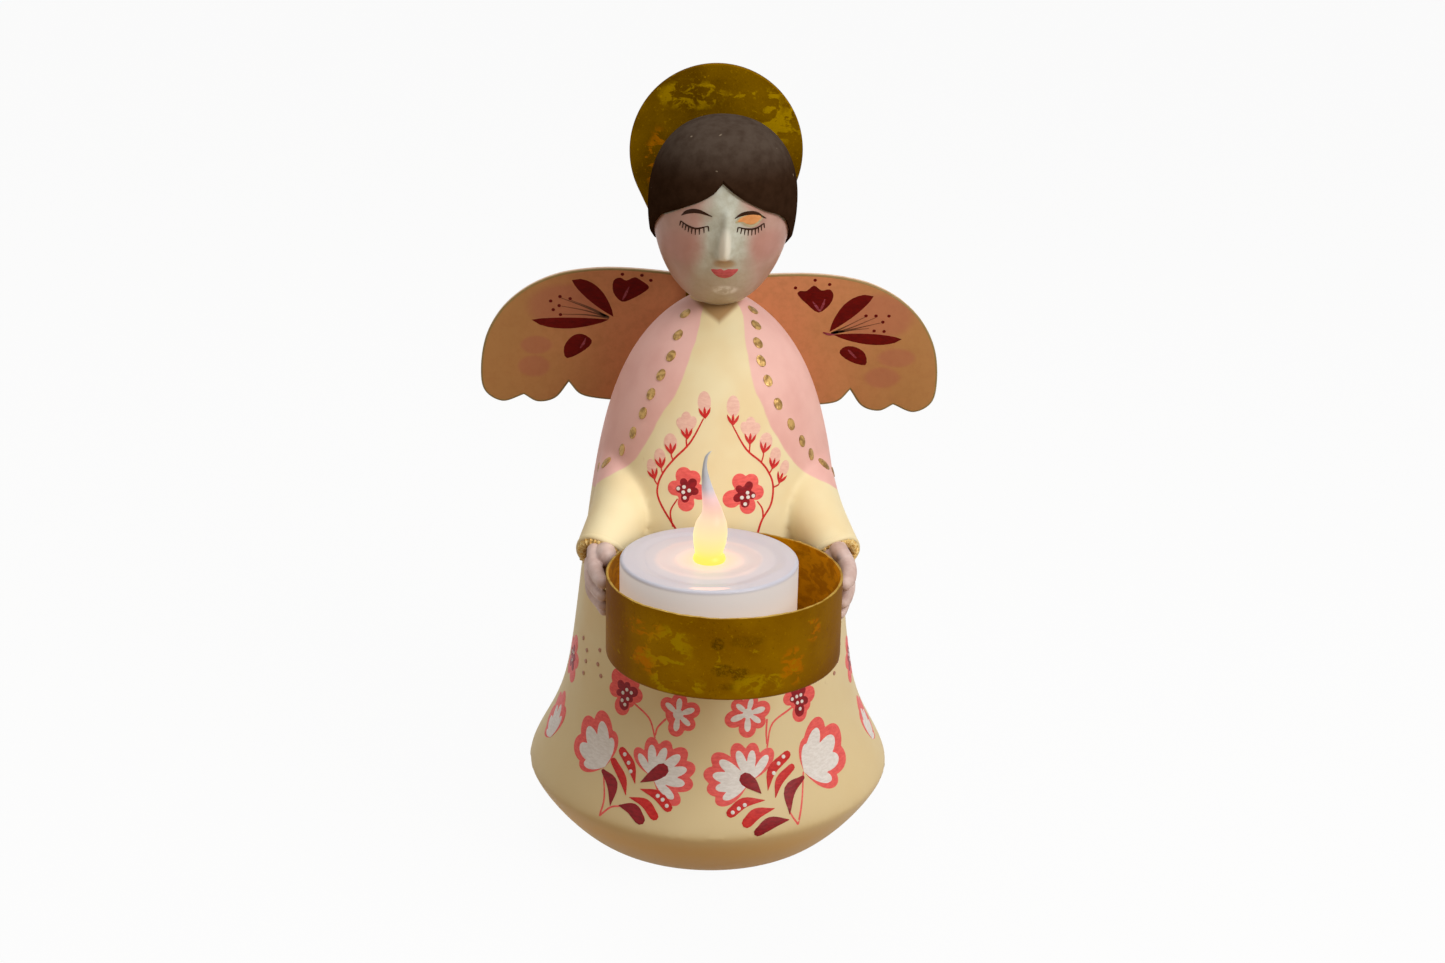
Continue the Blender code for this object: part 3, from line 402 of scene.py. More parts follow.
def wing_finish():
    """Terracotta wash, browner outwards, with the faint rose patches of the lilies."""
    point, fill = new_finish("wing_paint")
    x, _, z = point.parts()
    patch = point.noise(60.0, 3.0)
    dab = point.noise(650.0, 4.0, 0.6)
    outward = (x.math("ABSOLUTE") + (patch - 0.5) * 0.02).step(0.016, 0.050)
    colour = outward.mix(srgb(204, 134, 90), srgb(174, 126, 75))
    colour = (dab.step(0.35, 0.75) * 0.3).mix(colour, srgb(160, 106, 64))
    for centre, radii in WING_ROSE_PATCHES:
        far = oval_reach(x, z, centre, radii) + (patch - 0.5) * 0.9
        colour = (far.step(1.4, 0.6) * 0.45).mix(colour, srgb(168, 92, 78))
    return fill(bump=dab, strength=0.12, Base_Color=colour, Roughness=dab * 0.15 + 0.48,
                Specular_IOR_Level=0.25)


def wing_edge_finish():
    point, fill = new_finish("wing_edge_paint")
    dab = point.noise(500.0, 3.0, 0.6)
    _, y, _ = point.parts()
    colour = dab.step(0.35, 0.65).mix(srgb(222, 190, 160), srgb(204, 166, 132))
    colour = ((WING_LOW.y + 0.00042 - y).step(0.0, 0.0001) * 0.9).mix(colour, srgb(128, 104, 44))
    return fill(bump=dab, strength=0.2, Base_Color=colour, Roughness=0.45, Specular_IOR_Level=0.3)


def paint_finish(name, light, deep, roughness=0.38, strength=0.25, level=0.25):
    """Brushed acrylic: two tones of one colour and low brush ridges."""
    point, fill = new_finish(name)
    brush = point.mapped(size=(1.0, 1.0, 0.35)).noise(750.0, 4.0, 0.65)
    colour = brush.step(0.3, 0.7).mix(light, deep)
    return fill(bump=brush, strength=strength, Base_Color=colour, Roughness=brush * 0.15 + roughness,
                Specular_IOR_Level=level)


def gold_paint_finish():
    point, fill = new_finish("gold_paint")
    brush = point.noise(900.0, 3.0, 0.6)
    colour = brush.step(0.35, 0.65).mix(srgb(194, 156, 90), srgb(132, 98, 42))
    return fill(bump=brush, strength=0.6, distance=0.0004, Base_Color=colour, Metallic=0.40,
                Roughness=brush * 0.2 + 0.30)


def trim_finish():
    """Cuff trim: cream lace touched with gold."""
    point, fill = new_finish("cuff_trim")
    grain = point.noise(1500.0, 3.0, 0.7)
    colour = grain.step(0.40, 0.60).mix(srgb(232, 208, 142), srgb(184, 140, 66))
    return fill(bump=grain, strength=0.5, Base_Color=colour, Metallic=grain.step(0.45, 0.6) * 0.3,
                Roughness=0.4, Specular_IOR_Level=0.3)


def candle_finish():
    """Milky plastic with a painted peach glow round the flame, a painted glow down its side and a painted
    gold reflection of the cup low down.
    """
    point, fill = new_finish("candle_white")
    local = point.mapped((CANDLE_CENTRE.x, CANDLE_CENTRE.y, SHELL_HIGH.z))
    x, y, z = local.parts()
    cloud = local.noise(120.0, 2.0)
    reach = (x * x + y * y) ** 0.5 * TO_MM
    side = (z * -TO_MM).step(0.25, 1.1)
    colour = side.mix(srgb(194, 195, 208), srgb(176, 170, 168))
    pool = (reach + (cloud - 0.5) * 2.0).step(12.0, 10.6) * (1.0 - side)
    colour = (pool * 0.5).mix(colour, srgb(212, 202, 204))
    # Painted glow round the flame, in the colour and as emitted light.
    glow = (reach + (cloud - 0.5) * 2.0).step(8.6, 3.0) * (1.0 - side)
    colour = (glow * 0.7).mix(colour, srgb(238, 176, 152))
    # Painted glow: a bright arc near the front edge of the top, not a lip.
    glow_arc_x = (x * TO_MM + 0.6) / 4.5
    glow_arc_y = (y * TO_MM + 17.2 - glow_arc_x * glow_arc_x * 0.5) / 0.8
    lip = (glow_arc_x * glow_arc_x + glow_arc_y * glow_arc_y).step(1.1, 0.5) * (1.0 - side)
    light = (glow * 0.7 + lip * 0.8).mix((0.0, 0.0, 0.0, 1.0), srgb(230, 124, 80))
    # Painted glow in the wax pool.
    light = (pool * (1.0 - glow) * 0.25).mix(light, srgb(150, 96, 78))
    # Painted glow down the side, warmer low down as a painted reflection of the gold cup.
    deep = (z * -TO_MM).step(1.0, 11.0).mix(srgb(192, 190, 186), srgb(214, 192, 170))
    light = (side * 0.9).mix(light, deep)
    return fill(bump=cloud, strength=0.05, Base_Color=colour, Roughness=cloud * 0.1 + 0.30,
                Emission_Color=light, Emission_Strength=0.7, Specular_IOR_Level=0.35)


# Light of the flame, from its foot to its tip as a share of its height
FLAME_GLOW = ((0.02, srgb(255, 244, 100)), (0.10, srgb(255, 240, 146)), (0.22, srgb(255, 236, 174)),
              (0.36, srgb(255, 224, 186)), (0.45, srgb(253, 204, 184)), (0.53, srgb(226, 172, 164)),
              (0.62, srgb(112, 96, 104)), (0.72, srgb(24, 22, 24)))


def flame_finish():
    """Lit from inside at the bottom, plain frosted plastic at the tip."""
    point, fill = new_finish("flame_plastic")
    _, _, z = point.parts()
    haze = point.noise(300.0, 2.0)
    share = (z - SHELL_HIGH.z) / (FLAME_HIGH.z - SHELL_HIGH.z)
    glow = share.node("ValToRGB", {"stops": FLAME_GLOW}, {0: share})
    body = share.step(0.42, 0.66).mix(srgb(34, 22, 8), srgb(188, 194, 204))
    return fill(Base_Color=body, Roughness=haze * 0.1 + 0.34, Specular_IOR_Level=0.25, Emission_Color=glow,
                Emission_Strength=0.97)


def plain_finish(name, light, deep, scale, roughness, metallic=0.0, strength=0.1):
    """Moulded or rolled stock with a little unevenness."""
    point, fill = new_finish(name)
    grain = point.noise(scale, 3.0, 0.6)
    return fill(bump=grain, strength=strength, Base_Color=grain.step(0.35, 0.65).mix(light, deep),
                Roughness=grain * 0.15 + roughness, Metallic=metallic)


def robe_radius(height):
    """Radius of the robe at a height, below the hem crease too."""
    if height < HEM_HEIGHT:
        share = max(height, 0.0) / HEM_HEIGHT
        bulge = (1.0 - (1.0 - share) ** BASE_ROUND) ** (1.0 / BASE_ROUND)
        return BASE_RADIUS + (robe_radius(HEM_HEIGHT) - BASE_RADIUS) * bulge
    share = min(height / ROBE_TOP, 1.0)
    shoulder = (1.0 - share ** SHOULDER_SQUARENESS) ** (1.0 / SHOULDER_ROUND)
    above = (height - HEM_HEIGHT) / FLARE_HEIGHT
    return (ROBE_RADIUS - ROBE_TAPER * height) * shoulder + HEM_FLARE * math.exp(-above ** FLARE_CURVE)


def spun(profile, steps, centre=(0.0, 0.0), closed=False):
    """Turns (radius, height) points about a vertical axis."""
    bm = bmesh.new()
    verts = [bm.verts.new((radius, 0.0, height)) for radius, height in profile]
    pairs = list(zip(verts, verts[1:])) + ([(verts[-1], verts[0])] if closed else [])
    edges = [bm.edges.new(pair) for pair in pairs]
    bmesh.ops.spin(bm, geom=verts + edges, axis=(0, 0, 1), cent=(0, 0, 0), angle=2 * math.pi,
                   steps=steps, use_merge=True)
    bmesh.ops.remove_doubles(bm, verts=bm.verts, dist=1e-6)
    bmesh.ops.recalc_face_normals(bm, faces=bm.faces)
    bmesh.ops.translate(bm, verts=bm.verts, vec=(centre[0], centre[1], 0.0))
    return bm


def smooth_run(points, steps, closed=False):
    """Points on a smooth curve through the given ones, in as many dimensions as they have."""
    points = [tuple(point) for point in points]
    if closed:
        path = [points[-1]] + points + points[:2]
    else:
        first = tuple(2 * a - b for a, b in zip(points[0], points[1]))
        last = tuple(2 * a - b for a, b in zip(points[-1], points[-2]))
        path = [first] + points + [last]
    curve = []
    for before, start, end, after in zip(path, path[1:], path[2:], path[3:]):
        for step in range(steps):
            t = step / steps
            curve.append(tuple(0.5 * (2 * s + (e - b) * t + (2 * b - 5 * s + 4 * e - a) * t ** 2
                                      + (3 * s - b - 3 * e + a) * t ** 3)
                               for b, s, e, a in zip(before, start, end, after)))
    if not closed:
        curve.append(path[-2])
    return curve


def add_piece(name, bm, finish, slot, replaces=(), body="root", sharp=math.radians(40)):
    """Makes a bmesh a piece that rides on a body of the part."""
    mesh = bpy.data.meshes.new(name)
    bm.to_mesh(mesh)
    bm.free()
    mesh.shade_smooth()
    mesh.set_sharp_from_angle(angle=sharp)
    piece = bpy.data.objects.new(name, mesh)
    bpy.context.scene.collection.objects.link(piece)
    for one in finish if isinstance(finish, (list, tuple)) else [finish]:
        mesh.materials.append(one)
    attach(piece, body)
    for node in replaces:
        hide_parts(node)
    return piece


def worked(bm, steps):
    """Runs modifiers over a bmesh and gives the result. A step is a kind and its settings."""
    mesh = bpy.data.meshes.new("working")
    bm.to_mesh(mesh)
    bm.free()
    shape = bpy.data.objects.new("working", mesh)
    bpy.context.scene.collection.objects.link(shape)
    tools = []
    for kind, settings in steps:
        modifier = shape.modifiers.new(kind.lower(), kind)
        for key, value in settings.items():
            if isinstance(value, bmesh.types.BMesh):
                tool = bpy.data.objects.new("tool", bpy.data.meshes.new("tool"))
                value.to_mesh(tool.data)
                value.free()
                bpy.context.scene.collection.objects.link(tool)
                tools.append(tool)
                value = tool
            setattr(modifier, key, value)
    result = bmesh.new()
    result.from_object(shape, bpy.context.evaluated_depsgraph_get())
    for done in [shape] + tools:
        spare = done.data
        bpy.data.objects.remove(done)
        bpy.data.meshes.remove(spare)
    return result


def skinned(voxel):
    return ("REMESH", {"mode": "VOXEL", "voxel_size": voxel, "adaptivity": 0.0})


def smoothed(rounds, factor=0.5):
    return ("SMOOTH", {"iterations": rounds, "factor": factor})


def without(tool):
    return ("BOOLEAN", {"operation": "DIFFERENCE", "solver": "MANIFOLD", "object": tool})


def pour(source, target):
    """Adds one bmesh to another."""
    spare = bpy.data.meshes.new("poured")
    source.to_mesh(spare)
    source.free()
    target.from_mesh(spare)
    bpy.data.meshes.remove(spare)


def add_balls(bm, path, radii, spacing=0.25, detail=2, steps=8):
    """A rounded limb: balls close together along a smooth path, for a skin to go over."""
    spine = smooth_run([tuple(point) + (radius,) for point, radius in zip(path, radii)], steps)
    last = None
    for x, y, z, radius in spine:
        spot = Vector((x, y, z))
        if last is None or (spot - last).length > radius * spacing:
            ball = bmesh.new()
            bmesh.ops.create_icosphere(ball, subdivisions=detail, radius=radius,
                                       matrix=Matrix.Translation(spot))
            pour(ball, bm)
            last = spot
    return bm


def sheet(outline, front, back):
    """A flat sheet in the XZ plane between two depths, with the given (x, z) outline."""
    bm = bmesh.new()
    face = bm.faces.new([bm.verts.new((x, front, z)) for x, z in outline])
    grown = bmesh.ops.extrude_face_region(bm, geom=[face])
    moved = [item for item in grown["geom"] if isinstance(item, bmesh.types.BMVert)]
    bmesh.ops.translate(bm, verts=moved, vec=(0.0, back - front, 0.0))
    bmesh.ops.recalc_face_normals(bm, faces=bm.faces)
    return bm


# Sleeves and hands, set from the cup that the hands hold
GAP = 0.0003
CUFF_APART = 0.0258
CUFF_RADIUS = 0.0056
CUFF_Y = CUP_CENTRE.y + 0.0248
CUFF_HEIGHT = CUP_HIGH.z - 0.0056
ELBOW = (0.0215, 0.0105, 0.0060)
SHOULDER_END = (0.0185, 0.0240, 0.0130)
ELBOW_RADIUS = 0.0070
SHOULDER_END_RADIUS = 0.0080

# Seat for the halo and wings on the figure's back
SEAT_Y = HALO_HIGH.y
HALO_RADIUS = (HALO_HIGH.x - HALO_LOW.x) / 2
HALO_CENTRE_HEIGHT = HALO_HIGH.z - HALO_RADIUS
HALO_TAPER = math.radians(25.6)
STEM_WIDTH = 0.0130
STEM_BOTTOM = HALO_LOW.z
SEAT_WIDTH = 0.0180
SEAT_TOP = 0.1280
SEAT_SLOPE_WIDE = 0.0042
SEAT_SLOPE_TALL = 0.0072
WING_TURN = math.radians(1.3)
WING_ARCH = (0.0120, 0.1070)
WING_ARCH_FOOT = (0.0215, 0.0994)

# What is hollowed out of a sleeve's end, as radius and distance forward of the wrist
SLEEVE_MOUTH = ((0.0, -0.0030), (0.0040, -0.0026), (0.0048, -0.0010), (0.0051, 0.0004), (0.0095, 0.0006),
                (0.0095, 0.0110), (0.0, 0.0110))

ROBE_SKIN = 0.00075
HAND_SKIN = 0.00022
HAND_DROP = 0.0008
HAND_THINNING = 0.96
BALL_SPACING = 0.16
CUP_ROOM_TOP = 0.11


def limb_points(side):
    places = [(side * SHOULDER_END[0], CUFF_Y + SHOULDER_END[1], CUFF_HEIGHT + SHOULDER_END[2]),
              (side * ELBOW[0], CUFF_Y + ELBOW[1], CUFF_HEIGHT + ELBOW[2]),
              (side * CUFF_APART, CUFF_Y, CUFF_HEIGHT)]
    return [Vector(place) for place in places]


def cup_room(radius, low):
    """What is cut away so that the cup and all that stands above it are clear."""
    return spun([(0.0, low), (radius, low), (radius, CUP_ROOM_TOP), (0.0, CUP_ROOM_TOP)], 160,
                (CUP_CENTRE.x, CUP_CENTRE.y))


def halo_outline(steps, grow=0.0):
    """Disc whose sides run off as tangents into a straight stem."""
    half = STEM_WIDTH / 2 + grow
    radius = HALO_RADIUS + grow
    points = []
    for step in range(steps + 1):
        angle = -HALO_TAPER + (math.pi + 2 * HALO_TAPER) * step / steps
        points.append((radius * math.cos(angle), HALO_CENTRE_HEIGHT + radius * math.sin(angle)))
    drop = (radius * math.cos(HALO_TAPER) - half) / math.tan(HALO_TAPER)
    shoulder = HALO_CENTRE_HEIGHT - radius * math.sin(HALO_TAPER) - drop
    return points + [(-half, shoulder), (-half, STEM_BOTTOM - grow), (half, STEM_BOTTOM - grow),
                     (half, shoulder)]


def make_robe():
    """One casting: the turned robe, a pad for the wings and the sleeves, skinned over together."""
    rows = 110
    profile = [(0.0, 0.0)]
    hem_rows = 20
    for row in range(hem_rows + 1):
        height = HEM_HEIGHT * row / hem_rows
        profile.append((robe_radius(height), height))
    for row in range(1, rows):
        share = row / rows
        height = HEM_HEIGHT + (ROBE_TOP - HEM_HEIGHT) * (1.0 - (1.0 - share) ** 1.6 * (1.0 + 0.6 * share))
        profile.append((robe_radius(height), height))
    profile.append((0.0, ROBE_TOP))
    bm = spun(profile, 160)
    for side in (-1, 1):
        radii = (SHOULDER_END_RADIUS, ELBOW_RADIUS, CUFF_RADIUS + 0.0003)
        add_balls(bm, limb_points(side), radii, BALL_SPACING, detail=4, steps=20)
    half = SEAT_WIDTH / 2
    slope = SEAT_TOP - SEAT_SLOPE_TALL
    pour(sheet([(-half, STEM_BOTTOM), (half, STEM_BOTTOM), (half, slope), (half - SEAT_SLOPE_WIDE, SEAT_TOP),
                (SEAT_SLOPE_WIDE - half, SEAT_TOP), (-half, slope)], 0.0, SEAT_Y), bm)
    reach = 0.06
    clear = GAP + WING_ARCH_FOOT[0] * abs(math.sin(WING_TURN)) + 0.0006
    low = WING_ARCH_FOOT[1] - clear
    inner = WING_ARCH[0] - clear / 2
    outer = WING_ARCH_FOOT[0] - 1.5 * clear
    half_seat = [(inner, WING_ARCH[1] - clear), (outer, low), (reach, low), (reach, ROBE_TOP)]
    seat = sheet(half_seat + [(-x, z) for x, z in reversed(half_seat)], SEAT_Y, reach)
    groove = sheet(halo_outline(80, GAP), HALO_LOW.y - GAP, reach)
    room = cup_room(CUP_RADIUS + GAP, CUP_LOW.z - GAP)
    steps = [skinned(ROBE_SKIN), smoothed(6), without(seat), without(groove), without(room)]
    for side in (-1, 1):
        mouth = spun(SLEEVE_MOUTH, 96)
        bmesh.ops.transform(mouth, matrix=along_cuff(side), verts=mouth.verts)
        steps.append(without(mouth))
    return worked(bm, steps)


def egg_half(above):
    """Squareness and height of the crown's half of the egg or the chin's."""
    return (CROWN_SQUARENESS, HEAD_CROWN) if above > 0 else (CHIN_SQUARENESS, HEAD_CHIN)


def head_point(azimuth, rise):
    """A point of the egg, from an azimuth off the face and an angle above the widest line."""
    power, half = egg_half(rise)
    radius = HEAD_RADIUS * max(math.cos(rise), 0.0) ** (2 / power)
    height = half * math.copysign(abs(math.sin(rise)) ** (2 / power), rise)
    return Vector((radius * math.sin(azimuth), -radius * math.cos(azimuth), height))


def bell(value, width):
    return math.exp(-(value / width) ** 2)


def ease(value, low, high):
    share = min(max((value - low) / (high - low), 0.0), 1.0)
    return share * share * (3.0 - 2.0 * share)


def face_relief(x, z):
    """How far the face stands out at a place, all in millimetres."""
    down = ease(-z, -3.0, 8.0)
    nose = ((0.75 + 1.35 * down) * bell(x - 0.25, 0.95 + 0.65 * down)
            * (1.0 - ease(-z, 8.1, 9.3)) * ease(-z, -4.0, -1.0))
    brow = 0.30 * bell(z - 2.6, 1.8) * bell(abs(x - 0.2) - 4.5, 4.5)
    socket = -0.55 * bell(z + 0.6, 2.2) * bell(abs(x - 0.2) - 4.6, 2.6)
    lips = 0.35 * bell(z + 12.0, 1.3) * bell(x - 0.5, 3.0)
    chin = 0.35 * bell(z + 17.5, 3.0) * bell(x - 0.5, 4.0)
    cheek = 0.20 * bell(z + 7.0, 4.0) * bell(abs(x) - 8.0, 3.5)
    return nose + brow + socket + lips + chin + cheek


def make_head():
    rows = 70
    profile = []
    for step in range(2 * rows + 1):
        spot = head_point(math.pi / 2, math.pi * (step / (2 * rows) - 0.5))
        profile.append((max(spot.x, 0.0), spot.z))
    profile[0] = (0.0, -HEAD_CHIN)
    profile[-1] = (0.0, HEAD_CROWN)
    bm = spun(profile, 240)
    for vert in bm.verts:
        if vert.co.y < 0:
            front = ease(-vert.co.y, 0.002, 0.008)
            vert.co.y -= face_relief(vert.co.x / MM, vert.co.z / MM) * MM * front
    bmesh.ops.smooth_vert(bm, verts=bm.verts, factor=0.5, use_axis_x=True, use_axis_y=True, use_axis_z=True)
    bmesh.ops.transform(bm, matrix=HEAD_PLACE, verts=bm.verts)
    return bm


# Hairline as azimuth off the face in degrees and height on the head in millimetres
HAIRLINE = ((-180.0, -14.5), (-130.0, -12.5), (-100.0, -9.0), (-80.0, -5.2), (-66.0, -2.2), (-58.1, -0.5),
            (-38.4, 2.11), (-21.5, 4.5), (-13.0, 6.1), (-5.0, 8.9), (-4.4, 8.9), (6.0, 6.7), (16.7, 4.9),
            (31.8, 2.81), (47.1, 1.28), (60.0, -0.9), (68.0, -3.0), (80.0, -6.0), (100.0, -9.5),
            (130.0, -12.5), (180.0, -14.5))
HAIR_THICK = 0.00028
HAIR_SINK = 0.00006
HAIR_DEPTH = 0.0008


def hairline(azimuth):
    degrees = math.degrees(azimuth)
    for (left, low), (right, high) in zip(HAIRLINE, HAIRLINE[1:]):
        if left <= degrees <= right:
            return (low + (high - low) * (degrees - left) / (right - left)) * MM
    return HAIRLINE[0][1] * MM


def make_hair():
    """A cap from the crown down to the hairline, with a rounded edge that sinks into the head."""
    columns = 360
    rows = 60
    bm = spun([(math.sin(math.pi / 2 * row / rows), row) for row in range(rows + 1)], columns)
    for vert in bm.verts:
        share = vert.co.z / rows
        azimuth = math.atan2(vert.co.x, -vert.co.y) if share > 0 else 0.0
        line = hairline(azimuth)
        power, half = egg_half(line)
        bottom = math.copysign(math.asin(min((abs(line) / half) ** (power / 2), 1.0)), line)
        rise = math.pi / 2 + (bottom - math.pi / 2) * share
        spot = head_point(azimuth, rise)
        outward = Vector((spot.x, spot.y, spot.z * 0.8)).normalized() if share > 0 else Vector((0, 0, 1))
        away = (1.0 - share) * (math.pi / 2 - bottom) * HEAD_RADIUS
        lift = HAIR_THICK * (1.0 - (1.0 - min(away / (1.3 * HAIR_THICK), 1.0)) ** 2) - HAIR_SINK
        vert.co = spot + outward * lift
    bmesh.ops.recalc_face_normals(bm, faces=bm.faces)
    bmesh.ops.solidify(bm, geom=bm.faces[:], thickness=HAIR_DEPTH)
    bmesh.ops.recalc_face_normals(bm, faces=bm.faces)
    bmesh.ops.transform(bm, matrix=HEAD_PLACE, verts=bm.verts)
    return bm


# For each hand its palm, thumb and fingers: places along each as distance out, forward and down
# from the wrist in millimetres, and the radius at each
LEFT_HAND = (
    (((-0.6, -1.5, -0.2), (-0.1, 4.0, 0.4), (0.3, 8.5, 1.6)), (4.0, 3.7, 2.7)),
    (((-0.6, 2.4, -2.2), (-0.9, 6.4, -2.9), (-1.2, 9.6, -3.3)), (2.3, 2.4, 2.0)),
    (((1.6, 3.6, -2.6), (1.5, 10.0, -1.5), (0.6, 15.9, -1.4), (-0.3, 20.8, -2.0)), (1.8, 1.80, 1.6, 1.35)),
    (((2.3, 3.4, 0.2), (2.0, 10.8, 1.4), (0.7, 16.2, 1.6), (-0.3, 20.4, 1.0)), (1.7, 1.70, 1.5, 1.3)),
    (((2.2, 3.6, 2.6), (2.0, 9.8, 3.8), (0.8, 14.8, 4.3), (-0.5, 19.0, 3.8)), (1.5, 1.60, 1.4, 1.2)),
    (((1.3, 4.6, 4.8), (0.9, 9.4, 5.9), (0.0, 13.6, 6.3), (-0.6, 17.0, 6.1)), (1.3, 1.35, 1.2, 1.0)),
)
RIGHT_HAND = (
    (((-0.8, -1.5, -0.6), (-0.2, 4.0, 0.0), (0.0, 8.5, 1.4)), (4.1, 3.8, 2.7)),
    (((0.1, 2.6, -2.8), (0.5, 6.0, -3.2), (0.8, 8.6, -3.4)), (2.1, 2.1, 1.7)),
    (((0.6, 3.4, -3.2), (1.7, 10.6, -2.0), (1.4, 15.4, -1.0), (0.2, 18.8, -0.8)), (1.8, 1.95, 1.75, 1.4)),
    (((1.9, 5.0, -0.2), (1.9, 11.4, 2.2), (1.0, 15.8, 3.4), (0.0, 18.6, 3.5)), (1.7, 1.70, 1.5, 1.3)),
    (((1.8, 5.4, 3.0), (1.3, 11.4, 5.2), (0.3, 15.8, 6.2), (-0.4, 18.2, 6.2)), (1.5, 1.45, 1.25, 1.1)),
    (((1.0, 5.6, 5.4), (0.7, 10.8, 6.9), (0.0, 14.6, 7.6), (-0.5, 16.8, 7.6)), (1.2, 1.15, 1.0, 0.8)),
)


def hand_points(side, places):
    """Places on a hand as points, mirrored for the left."""
    return [(side * (CUFF_APART + out * MM), CUFF_Y - forward * MM, CUFF_HEIGHT - HAND_DROP - drop * MM)
            for out, forward, drop in places]


def make_hand(side):
    """Palm, thumb and fingers skinned over together, cut clear of the cup's wall."""
    bm = bmesh.new()
    for places, radii in LEFT_HAND if side < 0 else RIGHT_HAND:
        radii = [radius * MM * HAND_THINNING for radius in radii]
        add_balls(bm, hand_points(side, places), radii, BALL_SPACING, detail=3, steps=20)
    room = cup_room(CUP_RADIUS + GAP / 3, CUP_LOW.z - 0.01)
    return worked(bm, [skinned(HAND_SKIN), smoothed(2), without(room)])


def along_cuff(side):
    """Where the sleeve ends, and the turn that lays a ring square to it."""
    _, elbow, cuff = limb_points(side)
    turn = Vector((0.0, 0.0, 1.0)).rotation_difference(cuff - elbow).to_matrix().to_4x4()
    return Matrix.Translation(cuff) @ turn


def ring(radius, thick, high, steps, sides=16):
    profile = [(radius + thick * math.cos(2 * math.pi * step / sides),
                high * math.sin(2 * math.pi * step / sides))
               for step in range(sides)]
    return spun(profile, steps, closed=True)


def make_trim(side):
    """Rough beaded trim round the hand where it leaves the sleeve."""
    bm = ring(CUFF_RADIUS - 0.0012, 0.0010, 0.0010, 200)
    for vert in bm.verts:
        turn = math.atan2(vert.co.y, vert.co.x)
        bead = 0.5 * math.sin(23 * turn) + 0.3 * math.sin(41 * turn + 1.0) + 0.2 * math.sin(67 * turn + 2.0)
        vert.co.x *= 1.0 + 0.045 * bead
        vert.co.y *= 1.0 + 0.045 * bead
        vert.co.z += 0.0003 * math.sin(31 * turn + 0.6)
    place = along_cuff(side) @ Matrix.Translation((0.0, 0.0, 0.0007))
    bmesh.ops.transform(bm, matrix=place, verts=bm.verts)
    return bm


def make_cuff(side):
    """Soft rolled end of the sleeve."""
    bm = ring(CUFF_RADIUS - 0.0002, 0.00055, 0.0008, 96)
    for vert in bm.verts:
        turn = math.atan2(vert.co.y, vert.co.x)
        vert.co.z += 0.0002 * math.sin(3 * turn + side)
    place = along_cuff(side) @ Matrix.Translation((0.0, 0.0, 0.0002))
    bmesh.ops.transform(bm, matrix=place, verts=bm.verts)
    return bm


def round_rim(bm, size, segments, material):
    """Rounds both edges of an upright sheet."""
    rim = [edge for edge in bm.edges if abs(edge.verts[0].co.y - edge.verts[1].co.y) < 1e-6]
    bmesh.ops.bevel(bm, geom=rim, offset=size, segments=segments, profile=0.5, affect="EDGES",
                    material=material)


def make_halo():
    bm = sheet(halo_outline(160), HALO_LOW.y, HALO_HIGH.y)
    round_rim(bm, size=0.0004, segments=3, material=-1)
    return bm


# Outline of the right wing from its top middle round to the arch, as on the solid
WING_RUNS = (
    ((0.0, 0.1296), (0.0120, 0.1312), (0.0240, 0.1317), (0.0330, 0.1308), (0.0395, 0.1289),
     (0.0455, 0.1255), (0.0505, 0.1205), (0.0538, 0.1140), (0.0549, 0.1065), (0.0540, 0.1008),
     (0.0497, 0.0982), (0.0446, 0.1000)),
    ((0.0446, 0.1000), (0.0412, 0.0983), (0.0370, 0.0994), (0.0339, 0.1034)),
    ((0.0339, 0.1034), (0.0312, 0.1005), (0.0270, 0.0995), (0.0215, 0.0994), (0.0180, 0.1012),
     (0.0120, 0.1070)),
)
WING_PIVOT = 0.1130 + 0.0085 / 2


def make_wings():
    """Cut sheet with a rolled edge. The edge is its own finish."""
    half = []
    for run in WING_RUNS:
        half += smooth_run(run, 8)[1 if half else 0:]
    outline = half + [(-x, z) for x, z in reversed(half) if x > 0]
    bm = sheet(outline, WING_LOW.y, WING_HIGH.y)
    for face in bm.faces:
        face.material_index = 0 if len(face.verts) > 4 else 1
    round_rim(bm, size=0.0005, segments=4, material=1)
    turn = (Matrix.Translation((0.0, 0.0, WING_PIVOT)) @ Matrix.Rotation(WING_TURN, 4, "Y")
            @ Matrix.Translation((0.0, 0.0, -WING_PIVOT)))
    bmesh.ops.transform(bm, matrix=turn, verts=bm.verts)
    return bm


def make_cup():
    """Thin hammered band with a slightly uneven lip."""
    wall = 0.0005
    edge = 0.0008
    floor = 0.0006
    low = CUP_LOW.z
    high = CUP_HIGH.z
    outer = CUP_RADIUS
    profile = [(0.0, low), (outer - edge, low)]
    profile += [(outer - edge + edge * math.sin(math.radians(angle)),
                 low + edge - edge * math.cos(math.radians(angle)))
                for angle in (22, 45, 68, 90)]
    rows = 14
    profile += [(outer, low + edge + (high - low - edge) * row / rows) for row in range(1, rows)]
    profile += [(outer, high - 0.0001), (outer - wall * 0.3, high), (outer - wall * 0.7, high),
                (outer - wall, high - 0.0001)]
    profile += [(outer - wall, low + edge + (high - low - edge) * row / rows)
                for row in range(rows - 1, 0, -1)]
    profile += [(outer - wall, low + floor), (0.0, low + floor)]
    bm = spun(profile, 300)
    for vert in bm.verts:
        turn = math.atan2(vert.co.y, vert.co.x)
        up = (vert.co.z - low) / (high - low)
        ripple = (0.4 * math.sin(7 * turn + 0.8) + 0.35 * math.sin(19 * turn + 2.0)
                  + 0.25 * math.sin(53 * turn))
        vert.co.z -= 0.00012 * (1.0 + ripple) * ease(up, 0.9, 1.0)
        sway = 1.0 + 0.6 * math.sin(3 * turn + 1.0) + 0.4 * math.sin(5 * turn + 4 * up)
        shrink = 1.0 - 0.0022 * up * sway
        vert.co.x *= shrink
        vert.co.y *= shrink
    bmesh.ops.translate(bm, verts=bm.verts, vec=(CUP_CENTRE.x, CUP_CENTRE.y, 0.0))
    return bm


